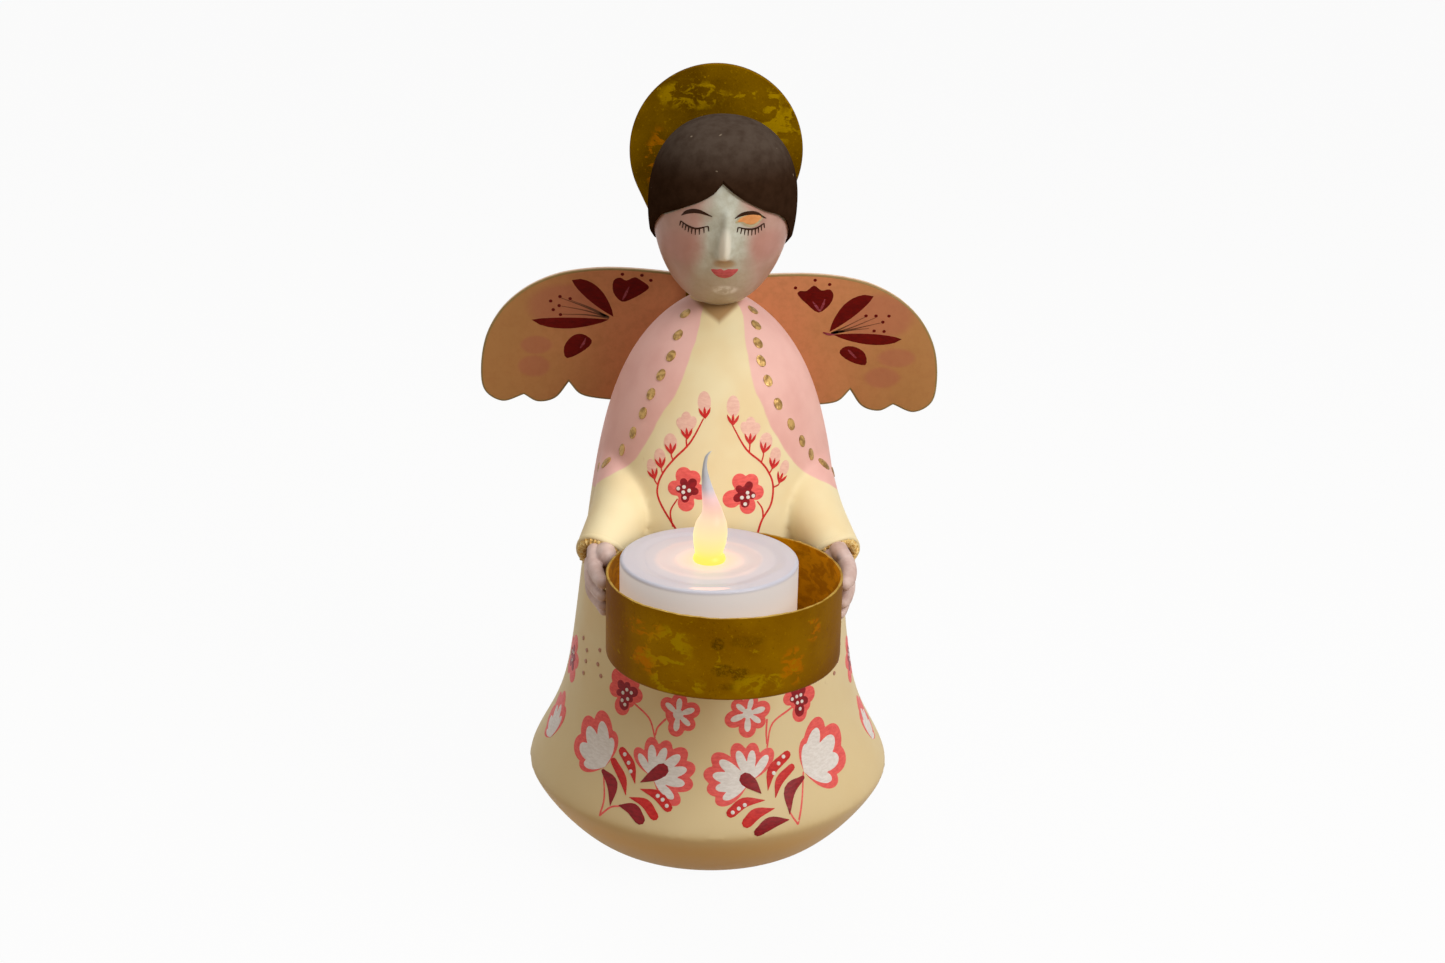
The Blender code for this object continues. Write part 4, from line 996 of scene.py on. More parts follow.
def make_candle():
    """Moulded shell with a rounded shoulder and a top that steps down like melted wax."""
    low = SHELL_LOW.z
    high = SHELL_HIGH.z
    radius = CANDLE_RADIUS
    shoulder = 0.0007
    wall = 0.0012
    hole = 0.0033
    hole_depth = 0.0018
    profile = [(radius - wall, low), (radius, low)]
    profile += [(radius, low + (high - shoulder - low) * row / 6) for row in range(1, 7)]
    profile += [(radius - shoulder * (1 - math.cos(math.radians(angle))),
                 high - shoulder * (1 - math.sin(math.radians(angle))))
                for angle in (15, 30, 45, 60, 75, 90)]
    rings = 60
    top = radius - shoulder
    profile += [(top + (hole - top) * ring_row / rings, high) for ring_row in range(1, rings + 1)]
    profile += [(hole, high - hole_depth), (radius - wall, high - hole_depth)]
    bm = spun(profile, 240, closed=True)
    for vert in bm.verts:
        if vert.co.z < high - 0.00001:
            continue
        turn = math.atan2(vert.co.y, vert.co.x)
        reach = vert.co.xy.length
        wave = math.sin(3 * turn + 0.7) + 0.6 * math.sin(5 * turn + 2.1) + 0.4 * math.sin(8 * turn + 4.0)
        outer_pool = 0.0152 + 0.0003 * wave
        inner_pool = 0.0088 + 0.0004 * math.sin(2 * turn + 1.9) + 0.0002 * wave
        drop = 0.00030 * ease(reach, outer_pool + 0.0010, outer_pool - 0.0016)
        drop += 0.00022 * ease(reach, inner_pool + 0.0018, inner_pool - 0.0022)
        vert.co.z -= drop
    bmesh.ops.recalc_face_normals(bm, faces=bm.faces)
    bmesh.ops.translate(bm, verts=bm.verts, vec=(CANDLE_CENTRE.x, CANDLE_CENTRE.y, 0.0))
    return bm


# The flame above its collar: a share of its height, a radius and a lean aside in millimetres
FLAME_SWELL = ((0.06, 2.85, -0.1), (0.081, 3.00, -0.1), (0.146, 3.39, 0.0), (0.20, 3.56, 0.06),
               (0.244, 3.60, 0.13), (0.325, 3.26, 0.26), (0.374, 2.70, 0.43), (0.407, 2.32, 0.47),
               (0.455, 1.97, 0.34), (0.52, 1.65, -0.06), (0.569, 1.42, -0.39), (0.65, 1.05, -0.84),
               (0.732, 0.71, -1.18), (0.797, 0.47, -1.31), (0.862, 0.36, -1.14), (0.895, 0.30, -0.80),
               (0.918, 0.22, -0.25), (0.930, 0.12, 0.45))


def make_flame():
    """Moulded flame with a collar on the candle's top and a tip that leans, then curls over."""
    collar = SHELL_HIGH.z - 0.0006
    rise = FLAME_HIGH.z - collar
    run = smooth_run(FLAME_SWELL, 4)
    profile = [(0.0, FLAME_LOW.z), (0.0028, FLAME_LOW.z), (0.0028, collar - 0.0002), (0.0033, collar),
               (0.00348, collar + 0.0005), (0.0033, collar + 0.0011), (0.0029, collar + 0.0014)]
    profile += [(radius * MM, collar + rise * up) for up, radius, _ in run]
    profile.append((0.0, collar + rise * run[-1][0] + 0.0001))
    bm = spun(profile, 64)
    for vert in bm.verts:
        share = (vert.co.z - collar) / rise
        for (low, _, lean), (high, _, next_lean) in zip(run, run[1:]):
            if low <= share <= high + 0.01:
                vert.co.x += (lean + (next_lean - lean) * min((share - low) / (high - low), 1.0)) * MM
                break
    bmesh.ops.translate(bm, verts=bm.verts, vec=(CANDLE_CENTRE.x, CANDLE_CENTRE.y, 0.0))
    return bm


# Painting: thin raised strokes laid on the pieces
PAINT_SINK = 0.00012
PAINT_LIFT = 0.00006
DOT_LIFT = PAINT_LIFT * 1.3
GOLD_DOT_LIFT = 0.00016
RAISED_DOT_LIFT = 0.00018
ROUND_END_WIDTH = 0.3


class RobeCanvas:
    """Millimetres round and up the robe from an angle off the front and a height."""

    grid = 1.4

    def __init__(self, skin, angle, height):
        self.skin = skin
        self.angle = math.radians(angle)
        self.height = height * MM
        self.radius = robe_radius(self.height)
        slope = (robe_radius(self.height + 0.0005) - robe_radius(self.height - 0.0005)) / 0.001
        self.rise = 1.0 / math.hypot(1.0, slope)

    def flat(self, angle, height):
        turn = math.radians(angle) - self.angle
        return turn * self.radius / MM, (height * MM - self.height) / self.rise / MM

    def lay(self, x, y):
        turn = self.angle + x * MM / self.radius
        inward = Vector((-math.sin(turn), math.cos(turn), 0.0))
        start = Vector((0.0, 0.0, self.height + y * MM * self.rise)) - inward * 0.1
        return self.skin.ray_cast(start, inward)[:2]


class FaceCanvas:
    """Millimetres across and up the face, seen from its own front."""

    grid = 0.45

    def __init__(self, skin):
        self.skin = skin

    def flat(self, x, y):
        return x, y

    def lay(self, x, y):
        forward = (HEAD_PLACE.to_3x3() @ Vector((0.0, 1.0, 0.0))).normalized()
        start = HEAD_PLACE @ Vector((x * MM, -0.05, y * MM))
        return self.skin.ray_cast(start, forward)[:2]


class WingCanvas:
    """Millimetres across and up the front of the wings."""

    grid = 4.0

    def flat(self, x, y):
        return x, y

    def lay(self, x, y):
        return Vector((x * MM, WING_LOW.y, y * MM)), Vector((0.0, -1.0, 0.0))


def lay_paint(pot, canvas, outline, coat=1.0, edge=0.10, lift=PAINT_LIFT):
    """Adds one stroke to a pot: a thin closed skin that follows the canvas, with a rounded edge."""
    bm = bmesh.new()
    face = bm.faces.new([bm.verts.new((x, y, 0.0)) for x, y in outline])
    if face.calc_area() > 0 and face.normal.z < 0:
        face.normal_flip()
    bmesh.ops.inset_region(bm, faces=[face], thickness=edge, use_even_offset=False)
    bmesh.ops.triangulate(bm, faces=bm.faces[:])
    for axis in (0, 1):
        low = min(vert.co[axis] for vert in bm.verts)
        high = max(vert.co[axis] for vert in bm.verts)
        across = Vector((1.0, 0.0, 0.0)) if axis == 0 else Vector((0.0, 1.0, 0.0))
        line = math.ceil(low / canvas.grid) * canvas.grid
        while line < high:
            bmesh.ops.bisect_plane(bm, geom=bm.verts[:] + bm.edges[:] + bm.faces[:], plane_co=across * line,
                                   plane_no=across, dist=1e-4)
            line += canvas.grid
    for vert in bm.verts:
        vert.co.z = 0.3 if vert.is_boundary else 1.0
    under = set(bm.verts)
    bmesh.ops.extrude_face_region(bm, geom=bm.faces[:])
    for vert in bm.verts:
        spot, normal = canvas.lay(vert.co.x, vert.co.y)
        if spot is None:
            bm.free()
            return
        height = -PAINT_SINK if vert in under else lift * (coat - 1.0 + vert.co.z)
        vert.co = spot + normal * height
    bmesh.ops.recalc_face_normals(bm, faces=bm.faces)
    pour(bm, pot)


def placed_outline(outline, x, y, turn=0.0, size=1.0):
    c = math.cos(math.radians(turn)) * size
    s = math.sin(math.radians(turn)) * size
    return [(x + c * a - s * b, y + s * a + c * b) for a, b in outline]


def oval(width, height, steps=20):
    return [(width / 2 * math.cos(2 * math.pi * step / steps),
             height / 2 * math.sin(2 * math.pi * step / steps))
            for step in range(steps)]


def brush_stroke(points, widths, steps=5):
    """Outline of a stroke along a smooth path, with its width at each point."""
    run = smooth_run([tuple(point) + (width,) for point, width in zip(points, widths)], steps)
    left = []
    right = []
    for index, (x, y, width) in enumerate(run):
        ahead = run[min(index + 1, len(run) - 1)]
        behind = run[max(index - 1, 0)]
        run_x = ahead[0] - behind[0]
        run_y = ahead[1] - behind[1]
        length = math.hypot(run_x, run_y) or 1.0
        half = max(width, 0.04) / 2
        left.append((x - run_y / length * half, y + run_x / length * half))
        right.append((x + run_y / length * half, y - run_x / length * half))
    start = run[0]
    end = run[-1]
    shares = (0.25, 0.5, 0.75)
    cap_start = [arc_point(start, right[0], share) for share in shares if start[2] > ROUND_END_WIDTH]
    cap_end = [arc_point(end, left[-1], share) for share in shares if end[2] > ROUND_END_WIDTH]
    return left + cap_end + right[::-1] + cap_start


def arc_point(centre, corner, share):
    """A point on the half circle that rounds a stroke's end, starting at one corner of it."""
    start = math.atan2(corner[1] - centre[1], corner[0] - centre[0])
    radius = math.hypot(corner[0] - centre[0], corner[1] - centre[1])
    angle = start - math.pi * share
    return centre[0] + radius * math.cos(angle), centre[1] + radius * math.sin(angle)


def petals(tips, spread, roundness=0.6, waist=0.0, closed=True, steps=96):
    """Outline round petals that grow from one point. A tip is an angle in degrees and a length."""
    points = []
    first = 0.0 if closed else tips[0][0] - spread
    span = 360.0 if closed else tips[-1][0] + spread - first
    for step in range(steps if closed else steps + 1):
        angle = first + span * step / steps
        reach = waist
        for tip, length in tips:
            off = abs((angle - tip + 180.0) % 360.0 - 180.0)
            if off < spread:
                reach = max(reach, length * math.cos(math.radians(off * 90.0 / spread)) ** roundness)
        points.append((reach * math.cos(math.radians(angle)), reach * math.sin(math.radians(angle))))
    return points if closed else [(0.0, 0.0)] + points


def polar(base, tip):
    """Angle in degrees and length from one flat point to another."""
    x = tip[0] - base[0]
    y = tip[1] - base[1]
    return math.degrees(math.atan2(y, x)), math.hypot(x, y)


def paint_coral_blossom(pots, skin, place, coral_tips, wine_tips, dots):
    """A coral flower with a dark lobed middle and white dots. Lobes are an angle and a length."""
    canvas = RobeCanvas(skin, *place)
    lay_paint(pots["coral"], canvas, petals(coral_tips, 47.0, 0.45, 2.6))
    lay_paint(pots["wine"], canvas, petals(wine_tips, 44.0, 0.6, 1.6), 2.0, 0.08)
    for x, y in dots:
        dot = placed_outline(oval(0.84, 0.84, 12), x, y)
        lay_paint(pots["white"], canvas, dot, 3.0, 0.1, DOT_LIFT)


def paint_white_flower(pots, skin, base, tips, border, spread_white, spread_coral, closed=False,
                       white_size=0.80):
    """White petals edged with coral, growing from a base point towards each tip."""
    canvas = RobeCanvas(skin, *base)
    reach = [polar((0.0, 0.0), canvas.flat(*tip)) for tip in tips]
    if not closed:
        reach = sorted(((angle + 450.0) % 360.0 - 90.0, length) for angle, length in reach)
    lay_paint(pots["coral"], canvas, petals(reach, spread_coral, 0.55, border if closed else 0.0, closed))
    inner = [(angle, length * white_size) for angle, length in reach]
    middle = petals(inner, spread_white, 0.7, 1.2 if closed else 0.0, closed)
    lay_paint(pots["white"], canvas, middle, 2.0, 0.08)


def robe_stroke(pots, skin, colour, places, widths, coat=1.0, edge=0.09):
    """A stroke through places given as angle and height."""
    middle = places[len(places) // 2]
    canvas = RobeCanvas(skin, *middle)
    outline = brush_stroke([canvas.flat(*place) for place in places], widths)
    lay_paint(pots[colour], canvas, outline, coat, min(edge, max(widths) * 0.3))


def robe_dots(pots, skin, colour, places, size, coat=3.0, lift=DOT_LIFT):
    for place in places:
        lay_paint(pots[colour], RobeCanvas(skin, *place), oval(size, size, 12), coat, size * 0.18, lift)


# Gold dots down the mantle, as angle and height
GOLD_DOTS_LEFT = ((-48.6, 128.1), (-40.2, 124.3), (-37.9, 120.3), (-40.5, 116.3), (-43.6, 112.1),
                  (-45.8, 107.8), (-49.8, 103.1), (-55.6, 98.6), (-63.3, 94.8), (-74.0, 92.0))
GOLD_DOTS_RIGHT = ((59.0, 128.6), (43.5, 126.2), (34.7, 123.1), (31.4, 119.7), (32.3, 115.7),
                   (35.7, 110.7), (42.1, 105.9), (48.2, 101.6), (54.0, 98.0), (60.6, 95.1), (67.9, 92.2))

# Budding stems on the chest: the stem, and each bud with the calyx under it
CHEST_STEMS = (
    (((-19.4, 84.2), (-28.6, 90.1), (-29.9, 93.4), (-27.4, 96.6), (-22.4, 99.8), (-15.3, 103.4),
      (-9.1, 108.6)),
     (((-8.3, 109.4), (-9.8, 112.1)), ((-17.1, 104.8), (-19.5, 107.7)), ((-24.8, 101.2), (-26.4, 102.8)),
      ((-29.4, 97.8), (-31.5, 99.4)), ((-32.5, 95.1), (-35.8, 96.6))),
     ((-21.0, 84.8), (-22.5, 88.0), (-19.5, 91.0))),
    (((17.4, 83.0), (20.0, 86.3), (24.9, 89.6), (26.5, 93.7), (24.3, 96.9), (20.4, 99.3), (13.4, 102.2),
      (6.9, 107.2)),
     (((7.0, 108.0), (8.0, 111.3)), ((15.7, 103.8), (18.2, 107.8)), ((23.0, 101.6), (25.6, 103.0)),
      ((27.3, 97.9), (30.6, 99.7)), ((30.6, 94.5), (35.8, 96.1))),
     ((20.6, 86.8), (20.3, 88.8), (18.0, 90.6))),
)
BUD_BRANCHES = (
    ((-30.1, 93.4), (-31.8, 94.2), (-32.5, 95.1)), ((-28.0, 96.0), (-28.8, 96.8), (-29.4, 97.8)),
    ((-23.4, 99.4), (-24.4, 100.2), (-24.8, 101.2)), ((-16.9, 102.8), (-17.3, 103.8), (-17.1, 104.8)),
    ((26.8, 93.2), (29.6, 93.6), (30.6, 94.5)), ((24.8, 96.4), (26.2, 97.0), (27.3, 97.9)),
    ((21.0, 99.0), (22.2, 100.2), (23.0, 101.6)), ((15.0, 101.5), (15.4, 102.6), (15.7, 103.8)),
)
BUD_SIZES = ((3.1, 4.6), (5.6, 5.2), (3.3, 4.2), (2.9, 3.7), (2.5, 3.6))


# Blossoms: place as angle and height, coral lobes, wine lobes and white dots
CHEST_BLOSSOMS = (
    ((-15.4, 93.2), ((106, 5.1), (64, 4.7), (-6, 4.6), (-90, 4.9), (178, 4.4)),
     ((115, 2.7), (53, 3.1), (-5, 2.7), (-97, 2.9), (180, 2.5)),
     ((-1.9, 0.1), (-0.6, 0.6), (0.6, -0.1), (-0.7, -0.6), (-0.3, -1.8))),
    ((12.0, 92.6), ((112, 4.7), (58, 4.7), (0, 4.5), (-78, 4.8), (201, 5.2)),
     ((59, 2.9), (140, 2.5), (210, 2.9), (-90, 3.2), (-20, 2.6)),
     ((0.6, 0.1), (-0.7, -0.9), (0.7, -0.9), (1.9, -0.7), (0.0, -2.4))),
)


def paint_chest(pots, skin):
    for places in (GOLD_DOTS_LEFT, GOLD_DOTS_RIGHT):
        for angle, height in places:
            canvas = RobeCanvas(skin, angle, height)
            low = ease(height, 110.0, 98.0)
            tilt = math.copysign(14.0 * (1.0 - low) - 38.0 * ease(height, 97.0, 94.6), angle)
            dot = placed_outline(oval(2.2 - 0.3 * low, 2.8), 0.0, 0.0, tilt)
            lay_paint(pots["gold"], canvas, dot, 1.6, 0.42, GOLD_DOT_LIFT)
    for branch in BUD_BRANCHES:
        robe_stroke(pots, skin, "scarlet", branch, (0.36, 0.34, 0.3))
    for stem, buds, branch in CHEST_STEMS:
        robe_stroke(pots, skin, "scarlet", stem, [0.46] * (len(stem) - 1) + [0.32])
        robe_stroke(pots, skin, "scarlet", branch, (0.42, 0.38, 0.30))
        for (calyx, bud), (width, length) in zip(buds, BUD_SIZES):
            canvas = RobeCanvas(skin, *calyx)
            toward, away = polar((0.0, 0.0), canvas.flat(*bud))
            aim = toward * 0.55 + 90.0 * 0.45
            middle = placed_outline([(away, 0.0)], 0.0, 0.0, aim)[0]
            if width > 4.0:
                lobes = ((62.0, length * 0.80), (90.0, length * 0.95), (118.0, length * 0.80))
                cupped = petals(lobes, 30.0, 0.45, closed=False, steps=48)
                lay_paint(pots["blush"], canvas, placed_outline(cupped, 0.0, 0.4, aim - 90.0))
            else:
                shape = placed_outline(oval(width, length), middle[0], middle[1], aim - 90.0)
                lay_paint(pots["blush"], canvas, shape)
            for lean, long in ((-40.0, 2.1), (0.0, 1.8), (40.0, 2.1)):
                tip = placed_outline([(long, 0.0)], 0.0, 0.0, aim + lean)[0]
                side_tip = placed_outline([(long * 0.5, 0.0)], 0.0, 0.0, aim + lean * 1.35)[0]
                foot = placed_outline([(-0.6, 0.0)], 0.0, 0.0, aim)[0]
                sepal = brush_stroke((foot, side_tip, tip), (0.36, 0.62, 0.08), 3)
                lay_paint(pots["scarlet"], canvas, sepal, 2.0, 0.06)
    for blossom in CHEST_BLOSSOMS:
        paint_coral_blossom(pots, skin, *blossom)


# Skirt: for each side, the places of stems, leaves and flowers as angle and height
SKIRT_STEMS = (
    ((-37.3, 16.9), (-37.3, 20.7), (-40.8, 25.9)), ((-37.3, 16.9), (-34.2, 19.3), (-31.0, 20.1)),
    ((-33.6, 42.4), (-26.2, 39.7), (-23.0, 35.6)), ((-19.5, 40.1), (-22.3, 38.0), (-23.0, 36.2)),
    ((26.0, 16.9), (29.3, 22.0), (32.0, 26.8)), ((26.0, 16.9), (24.7, 18.5), (23.8, 19.9)),
    ((31.3, 41.5), (22.3, 38.9), (19.3, 33.8)), ((20.0, 39.9), (19.4, 37.0), (19.3, 34.6)),
)
SKIRT_LEAVES = (
    ("wine", ((-40.8, 25.7), (-35.8, 23.8), (-34.4, 19.6)), (1.0, 2.8, 0.1)),
    ("scarlet", ((-29.9, 22.5), (-32.6, 25.6), (-37.8, 28.4)), (0.1, 1.9, 1.6)),
    ("scarlet", ((-27.6, 25.2), (-30.6, 28.6), (-35.2, 31.0)), (0.1, 2.2, 2.0)),
    ("wine", ((-31.5, 20.2), (-26.6, 20.1), (-23.6, 18.4)), (0.2, 2.8, 2.5)),
    ("scarlet", ((-28.6, 22.3), (-22.8, 21.8), (-19.2, 19.6)), (0.1, 2.1, 2.0)),
    ("scarlet", ((-25.5, 24.4), (-19.2, 23.8), (-15.2, 21.7)), (0.1, 2.3, 2.1)),
    ("wine", ((31.3, 25.8), (25.4, 24.0), (23.7, 19.3)), (1.0, 2.9, 0.1)),
    ("scarlet", ((19.8, 23.1), (22.4, 26.4), (27.8, 28.5)), (0.1, 2.0, 1.7)),
    ("scarlet", ((17.6, 24.8), (20.2, 28.8), (26.8, 31.3)), (0.1, 2.2, 2.0)),
    ("wine", ((23.2, 18.3), (17.2, 18.3), (12.9, 16.7)), (0.2, 2.8, 2.1)),
    ("scarlet", ((19.0, 21.1), (13.0, 20.6), (9.6, 18.9)), (0.1, 2.5, 2.4)),
    ("scarlet", ((16.2, 23.0), (9.3, 23.0), (4.8, 21.1)), (0.1, 2.3, 2.2)),
)
LEAF_DOTS = ((-33.8, 30.5), (-31.6, 29.0), (-30.1, 27.4), (-19.0, 23.7), (-17.2, 23.1), (-15.6, 22.0),
             (25.2, 31.1), (22.9, 29.9), (20.6, 28.1), (5.3, 21.2), (7.3, 21.9), (9.3, 22.5))
DAISIES = (
    ((-21.9, 27.2), ((-30.0, 32.5), (-24.4, 35.6), (-17.6, 35.4), (-10.7, 33.9), (-7.2, 30.4), (-7.6, 26.6),
                     (-11.7, 22.6)), ((-25.8, 25.7), (-21.6, 27.6), (-18.8, 29.0))),
    ((11.6, 27.0), ((21.1, 33.3), (14.0, 35.2), (7.1, 35.4), (-1.2, 33.0), (-4.2, 29.2), (-3.0, 25.8),
                    (0.0, 23.1)),
     ((15.2, 24.4), (12.6, 26.4), (10.4, 27.6))),
)
FANS = (
    ((-40.6, 26.6), ((-52.4, 25.3), (-58.6, 29.0), (-57.2, 34.4), (-49.0, 37.8), (-40.8, 34.6))),
    ((32.3, 26.8), ((36.6, 33.8), (45.2, 36.8), (54.8, 32.4), (53.8, 27.0), (45.6, 22.6))),
)
SMALL_FLOWERS = (
    ((-14.6, 41.6), ((-21.4, 44.6), (-14.2, 46.6), (-6.4, 43.6), (-8.4, 38.6), (-15.4, 36.5))),
    ((12.4, 41.9), ((6.4, 45.0), (3.4, 40.2), (11.8, 36.4), (18.8, 38.8), (21.6, 42.9), (14.6, 46.4))),
)
SIDE_FANS = (
    ((-75.0, 24.6), ((-84.0, 24.6), (-89.0, 28.0), (-87.0, 32.6), (-80.5, 34.8), (-73.4, 32.6))),
    ((77.3, 23.2), ((84.0, 23.4), (88.6, 26.8), (87.4, 31.2), (81.6, 33.2), (76.4, 30.4))),
)
RAISED_DOTS = ((-68.6, 51.2), (-64.0, 49.2), (-63.7, 46.6), (-64.3, 43.5), (-54.3, 51.3), (-54.6, 47.8),
               (-51.8, 45.5), (66.0, 50.4), (62.0, 47.0), (58.0, 44.8))
SKIRT_BLOSSOMS = (
    ((-37.9, 44.0), ((180, 4.8), (128, 6.0), (60, 5.4), (4, 4.8), (-50, 3.6), (-98, 5.5)),
     ((130, 3.2), (20, 3.7), (75, 2.8), (194, 2.5), (-88, 4.1), (-35, 2.7)),
     ((-0.5, -0.1), (0.5, 0.9), (1.8, 0.5), (1.0, -1.2), (-0.5, -1.9), (0.4, -2.7))),
    ((34.8, 43.0), ((165, 4.4), (118, 5.6), (55, 5.4), (4, 5.2), (-45, 4.2), (-90, 5.5)),
     ((-90, 4.2), (-27, 3.0), (167, 2.6), (55, 3.2), (118, 3.2)),
     ((-1.9, 0.4), (-0.6, 0.7), (0.6, 0.8), (-0.5, -0.8), (0.8, -0.8), (0.1, -2.4))),
    ((-79.0, 43.8), ((80, 6.0), (8, 5.0), (-60, 6.0), (-130, 6.0), (150, 6.0)),
     ((90, 3.2), (18, 2.4), (-54, 3.2), (-126, 3.2), (162, 3.2)), ((-0.9, 1.2), (0.7, 1.5), (0.2, -0.6))),
    ((80.0, 43.4), ((100, 6.0), (172, 5.0), (-120, 6.0), (-50, 6.0), (30, 6.0)),
     ((90, 3.2), (162, 2.4), (-126, 3.2), (-54, 3.2), (18, 3.2)), ((-0.9, 1.2), (0.7, 1.5), (0.2, -0.6))),
)


def paint_skirt(pots, skin):
    for stem in SKIRT_STEMS:
        robe_stroke(pots, skin, "coral", stem, (0.50, 0.45, 0.40), 0.8)
    for blossom in SKIRT_BLOSSOMS:
        paint_coral_blossom(pots, skin, *blossom)
    for base, tips, drop in DAISIES:
        paint_white_flower(pots, skin, base, tips, 1.0, 20.0, 27.0)
        robe_stroke(pots, skin, "wine", drop, (0.1, 2.6, 3.2), 3.0)
    for base, tips in FANS:
        paint_white_flower(pots, skin, base, tips, 1.0, 24.0, 31.0)
    for base, tips in SMALL_FLOWERS:
        paint_white_flower(pots, skin, base, tips, 3.0, 25.0, 48.0, True, 0.76)
    for base, tips in SIDE_FANS:
        paint_white_flower(pots, skin, base, tips, 1.0, 22.0, 30.0, white_size=0.70)
    for colour, places, widths in SKIRT_LEAVES:
        robe_stroke(pots, skin, colour, places, widths, 2.0)
    robe_dots(pots, skin, "white", LEAF_DOTS, 0.92)
    robe_dots(pots, skin, "cream_dots", RAISED_DOTS, 1.05, 1.4, RAISED_DOT_LIFT)


# Face painting, in millimetres on the head
BROWS = (((-9.45, 0.25), (-8.1, 1.40), (-5.9, 1.90), (-3.00, 1.10)),
         ((1.85, 1.00), (3.6, 1.95), (6.2, 2.00), (8.80, 0.55)))
LASH_LINES = (((-9.48, -1.02), (-7.97, -1.75), (-6.07, -2.05), (-3.69, -1.22)),
              ((2.75, -1.05), (4.8, -1.6), (6.75, -1.45), (8.35, -0.5)))
LIPS = ((-2.5, -11.3), (-1.2, -11.15), (-0.3, -10.95), (0.35, -11.3), (1.2, -10.95), (2.2, -11.0),
        (3.5, -11.1), (2.3, -12.7), (1.2, -13.25), (0.2, -13.3), (-1.2, -12.8))
EYELID_PATCH = ((2.5, 0.25), (3.4, 1.25), (5.1, 1.75), (6.8, 1.6), (7.7, 1.05), (6.9, 0.0), (5.8, -0.6),
                (4.6, -0.4), (3.6, 0.15))


HAIRLINE_DROP = 0.28


def head_place(azimuth, height):
    """Millimetres across and up the face for a place on the hairline."""
    power, half = egg_half(height)
    rise = math.copysign(math.asin((abs(height) * MM / half) ** (power / 2)), height)
    spot = head_point(math.radians(azimuth), rise)
    return spot.x / MM, spot.z / MM - HAIRLINE_DROP


def paint_face(pots, skin):
    canvas = FaceCanvas(skin)
    for brow in BROWS:
        lay_paint(pots["brown"], canvas, brush_stroke(brow, (0.14, 0.85, 0.90, 0.16)), 1.5, 0.06)
    for line in LASH_LINES:
        lay_paint(pots["brown"], canvas, brush_stroke(line, (0.20, 0.36, 0.38, 0.20)), 2.0, 0.04)
        run = smooth_run(line, 8)
        middle = (line[0][0] + line[-1][0]) / 2
        for index in range(9):
            x, y = run[round(index * (len(run) - 1) / 8)]
            lean = (x - middle) * 0.07
            foot = (x + lean * 1.1, y - 1.15 - 0.25 * math.cos((x - middle) * 0.6))
            lay_paint(pots["brown"], canvas, brush_stroke(((x, y), foot), (0.30, 0.14), 2), 2.0, 0.03)
    lay_paint(pots["lips"], canvas, smooth_run(LIPS, 3, True), 1.0, 0.12)
    patch = smooth_run(EYELID_PATCH, 3, True)
    middle = (sum(x for x, _ in patch) / len(patch), sum(y for _, y in patch) / len(patch))
    rim = [(middle[0] + (x - middle[0]) * 1.2, middle[1] - 0.15 + (y - middle[1]) * 1.4) for x, y in patch]
    lay_paint(pots["pearl"], canvas, rim, 1.0, 0.1)
    lay_paint(pots["orange"], canvas, patch, 2.0, 0.1)
    for run in (HAIRLINE[5:11], HAIRLINE[10:16]):
        places = [head_place(azimuth, height) for azimuth, height in run]
        lay_paint(pots["grey"], canvas, brush_stroke(places, [0.42] * len(places), 3), 1.5, 0.06)


def blade(start, end, left, right, steps=10):
    """A petal between two points that bulges by so much on each side."""
    length = math.hypot(end[0] - start[0], end[1] - start[1])
    turn = math.degrees(math.atan2(end[1] - start[1], end[0] - start[0]))
    swell = [math.sin(math.pi * (step / steps) ** 1.25) ** 0.62 for step in range(steps + 1)]
    upper = [(length * step / steps, left * swell[step]) for step in range(1, steps)]
    lower = [(length * step / steps, -right * swell[step]) for step in range(steps - 1, 0, -1)]
    return placed_outline([(0.0, 0.0)] + upper + [(length, 0.0)] + lower, start[0], start[1], turn)


WING_BLADES = (((-23.6, 120.5), (-33.4, 129.3), 0.9, 2.9), ((-24.6, 119.8), (-42.9, 119.6), 2.2, 0.5),
               ((28.0, 117.2), (38.2, 126.0), 3.0, 0.8), ((28.9, 116.5), (45.5, 115.5), 0.8, 1.9))
WING_BUDS = (((-21.6, 124.2), (-23.6, 126.4), (-23.6, 129.2), (-22.0, 130.0), (-20.6, 129.3),
              (-18.6, 130.1), (-17.0, 129.3), (-15.2, 127.8), (-16.6, 126.4), (-19.0, 125.0)),
             ((25.2, 121.9), (22.4, 123.9), (20.1, 126.2), (20.5, 127.1), (22.2, 127.2), (23.9, 128.5),
              (25.7, 127.3), (27.6, 127.6), (28.6, 126.2), (27.8, 123.9)),
             ((-34.6, 110.2), (-35.3, 113.0), (-33.4, 115.6), (-31.0, 116.2), (-28.7, 114.6),
              (-30.2, 112.4)),
             ((37.0, 109.0), (36.8, 111.8), (34.6, 113.4), (32.0, 113.6), (30.6, 112.0), (33.2, 109.9)))
WING_DOTS = ((-38.4, 124.2), (-36.2, 125.3), (-33.8, 124.8), (-36.4, 123.1), (-37.8, 122.1),
             (-36.1, 120.9), (-21.5, 130.8), (-16.9, 130.6), (-14.8, 129.4), (36.6, 121.2), (39.0, 121.2),
             (42.1, 121.2), (40.7, 119.7), (38.7, 117.5), (41.1, 117.4), (19.5, 127.9), (24.1, 129.8),
             (27.6, 128.8))
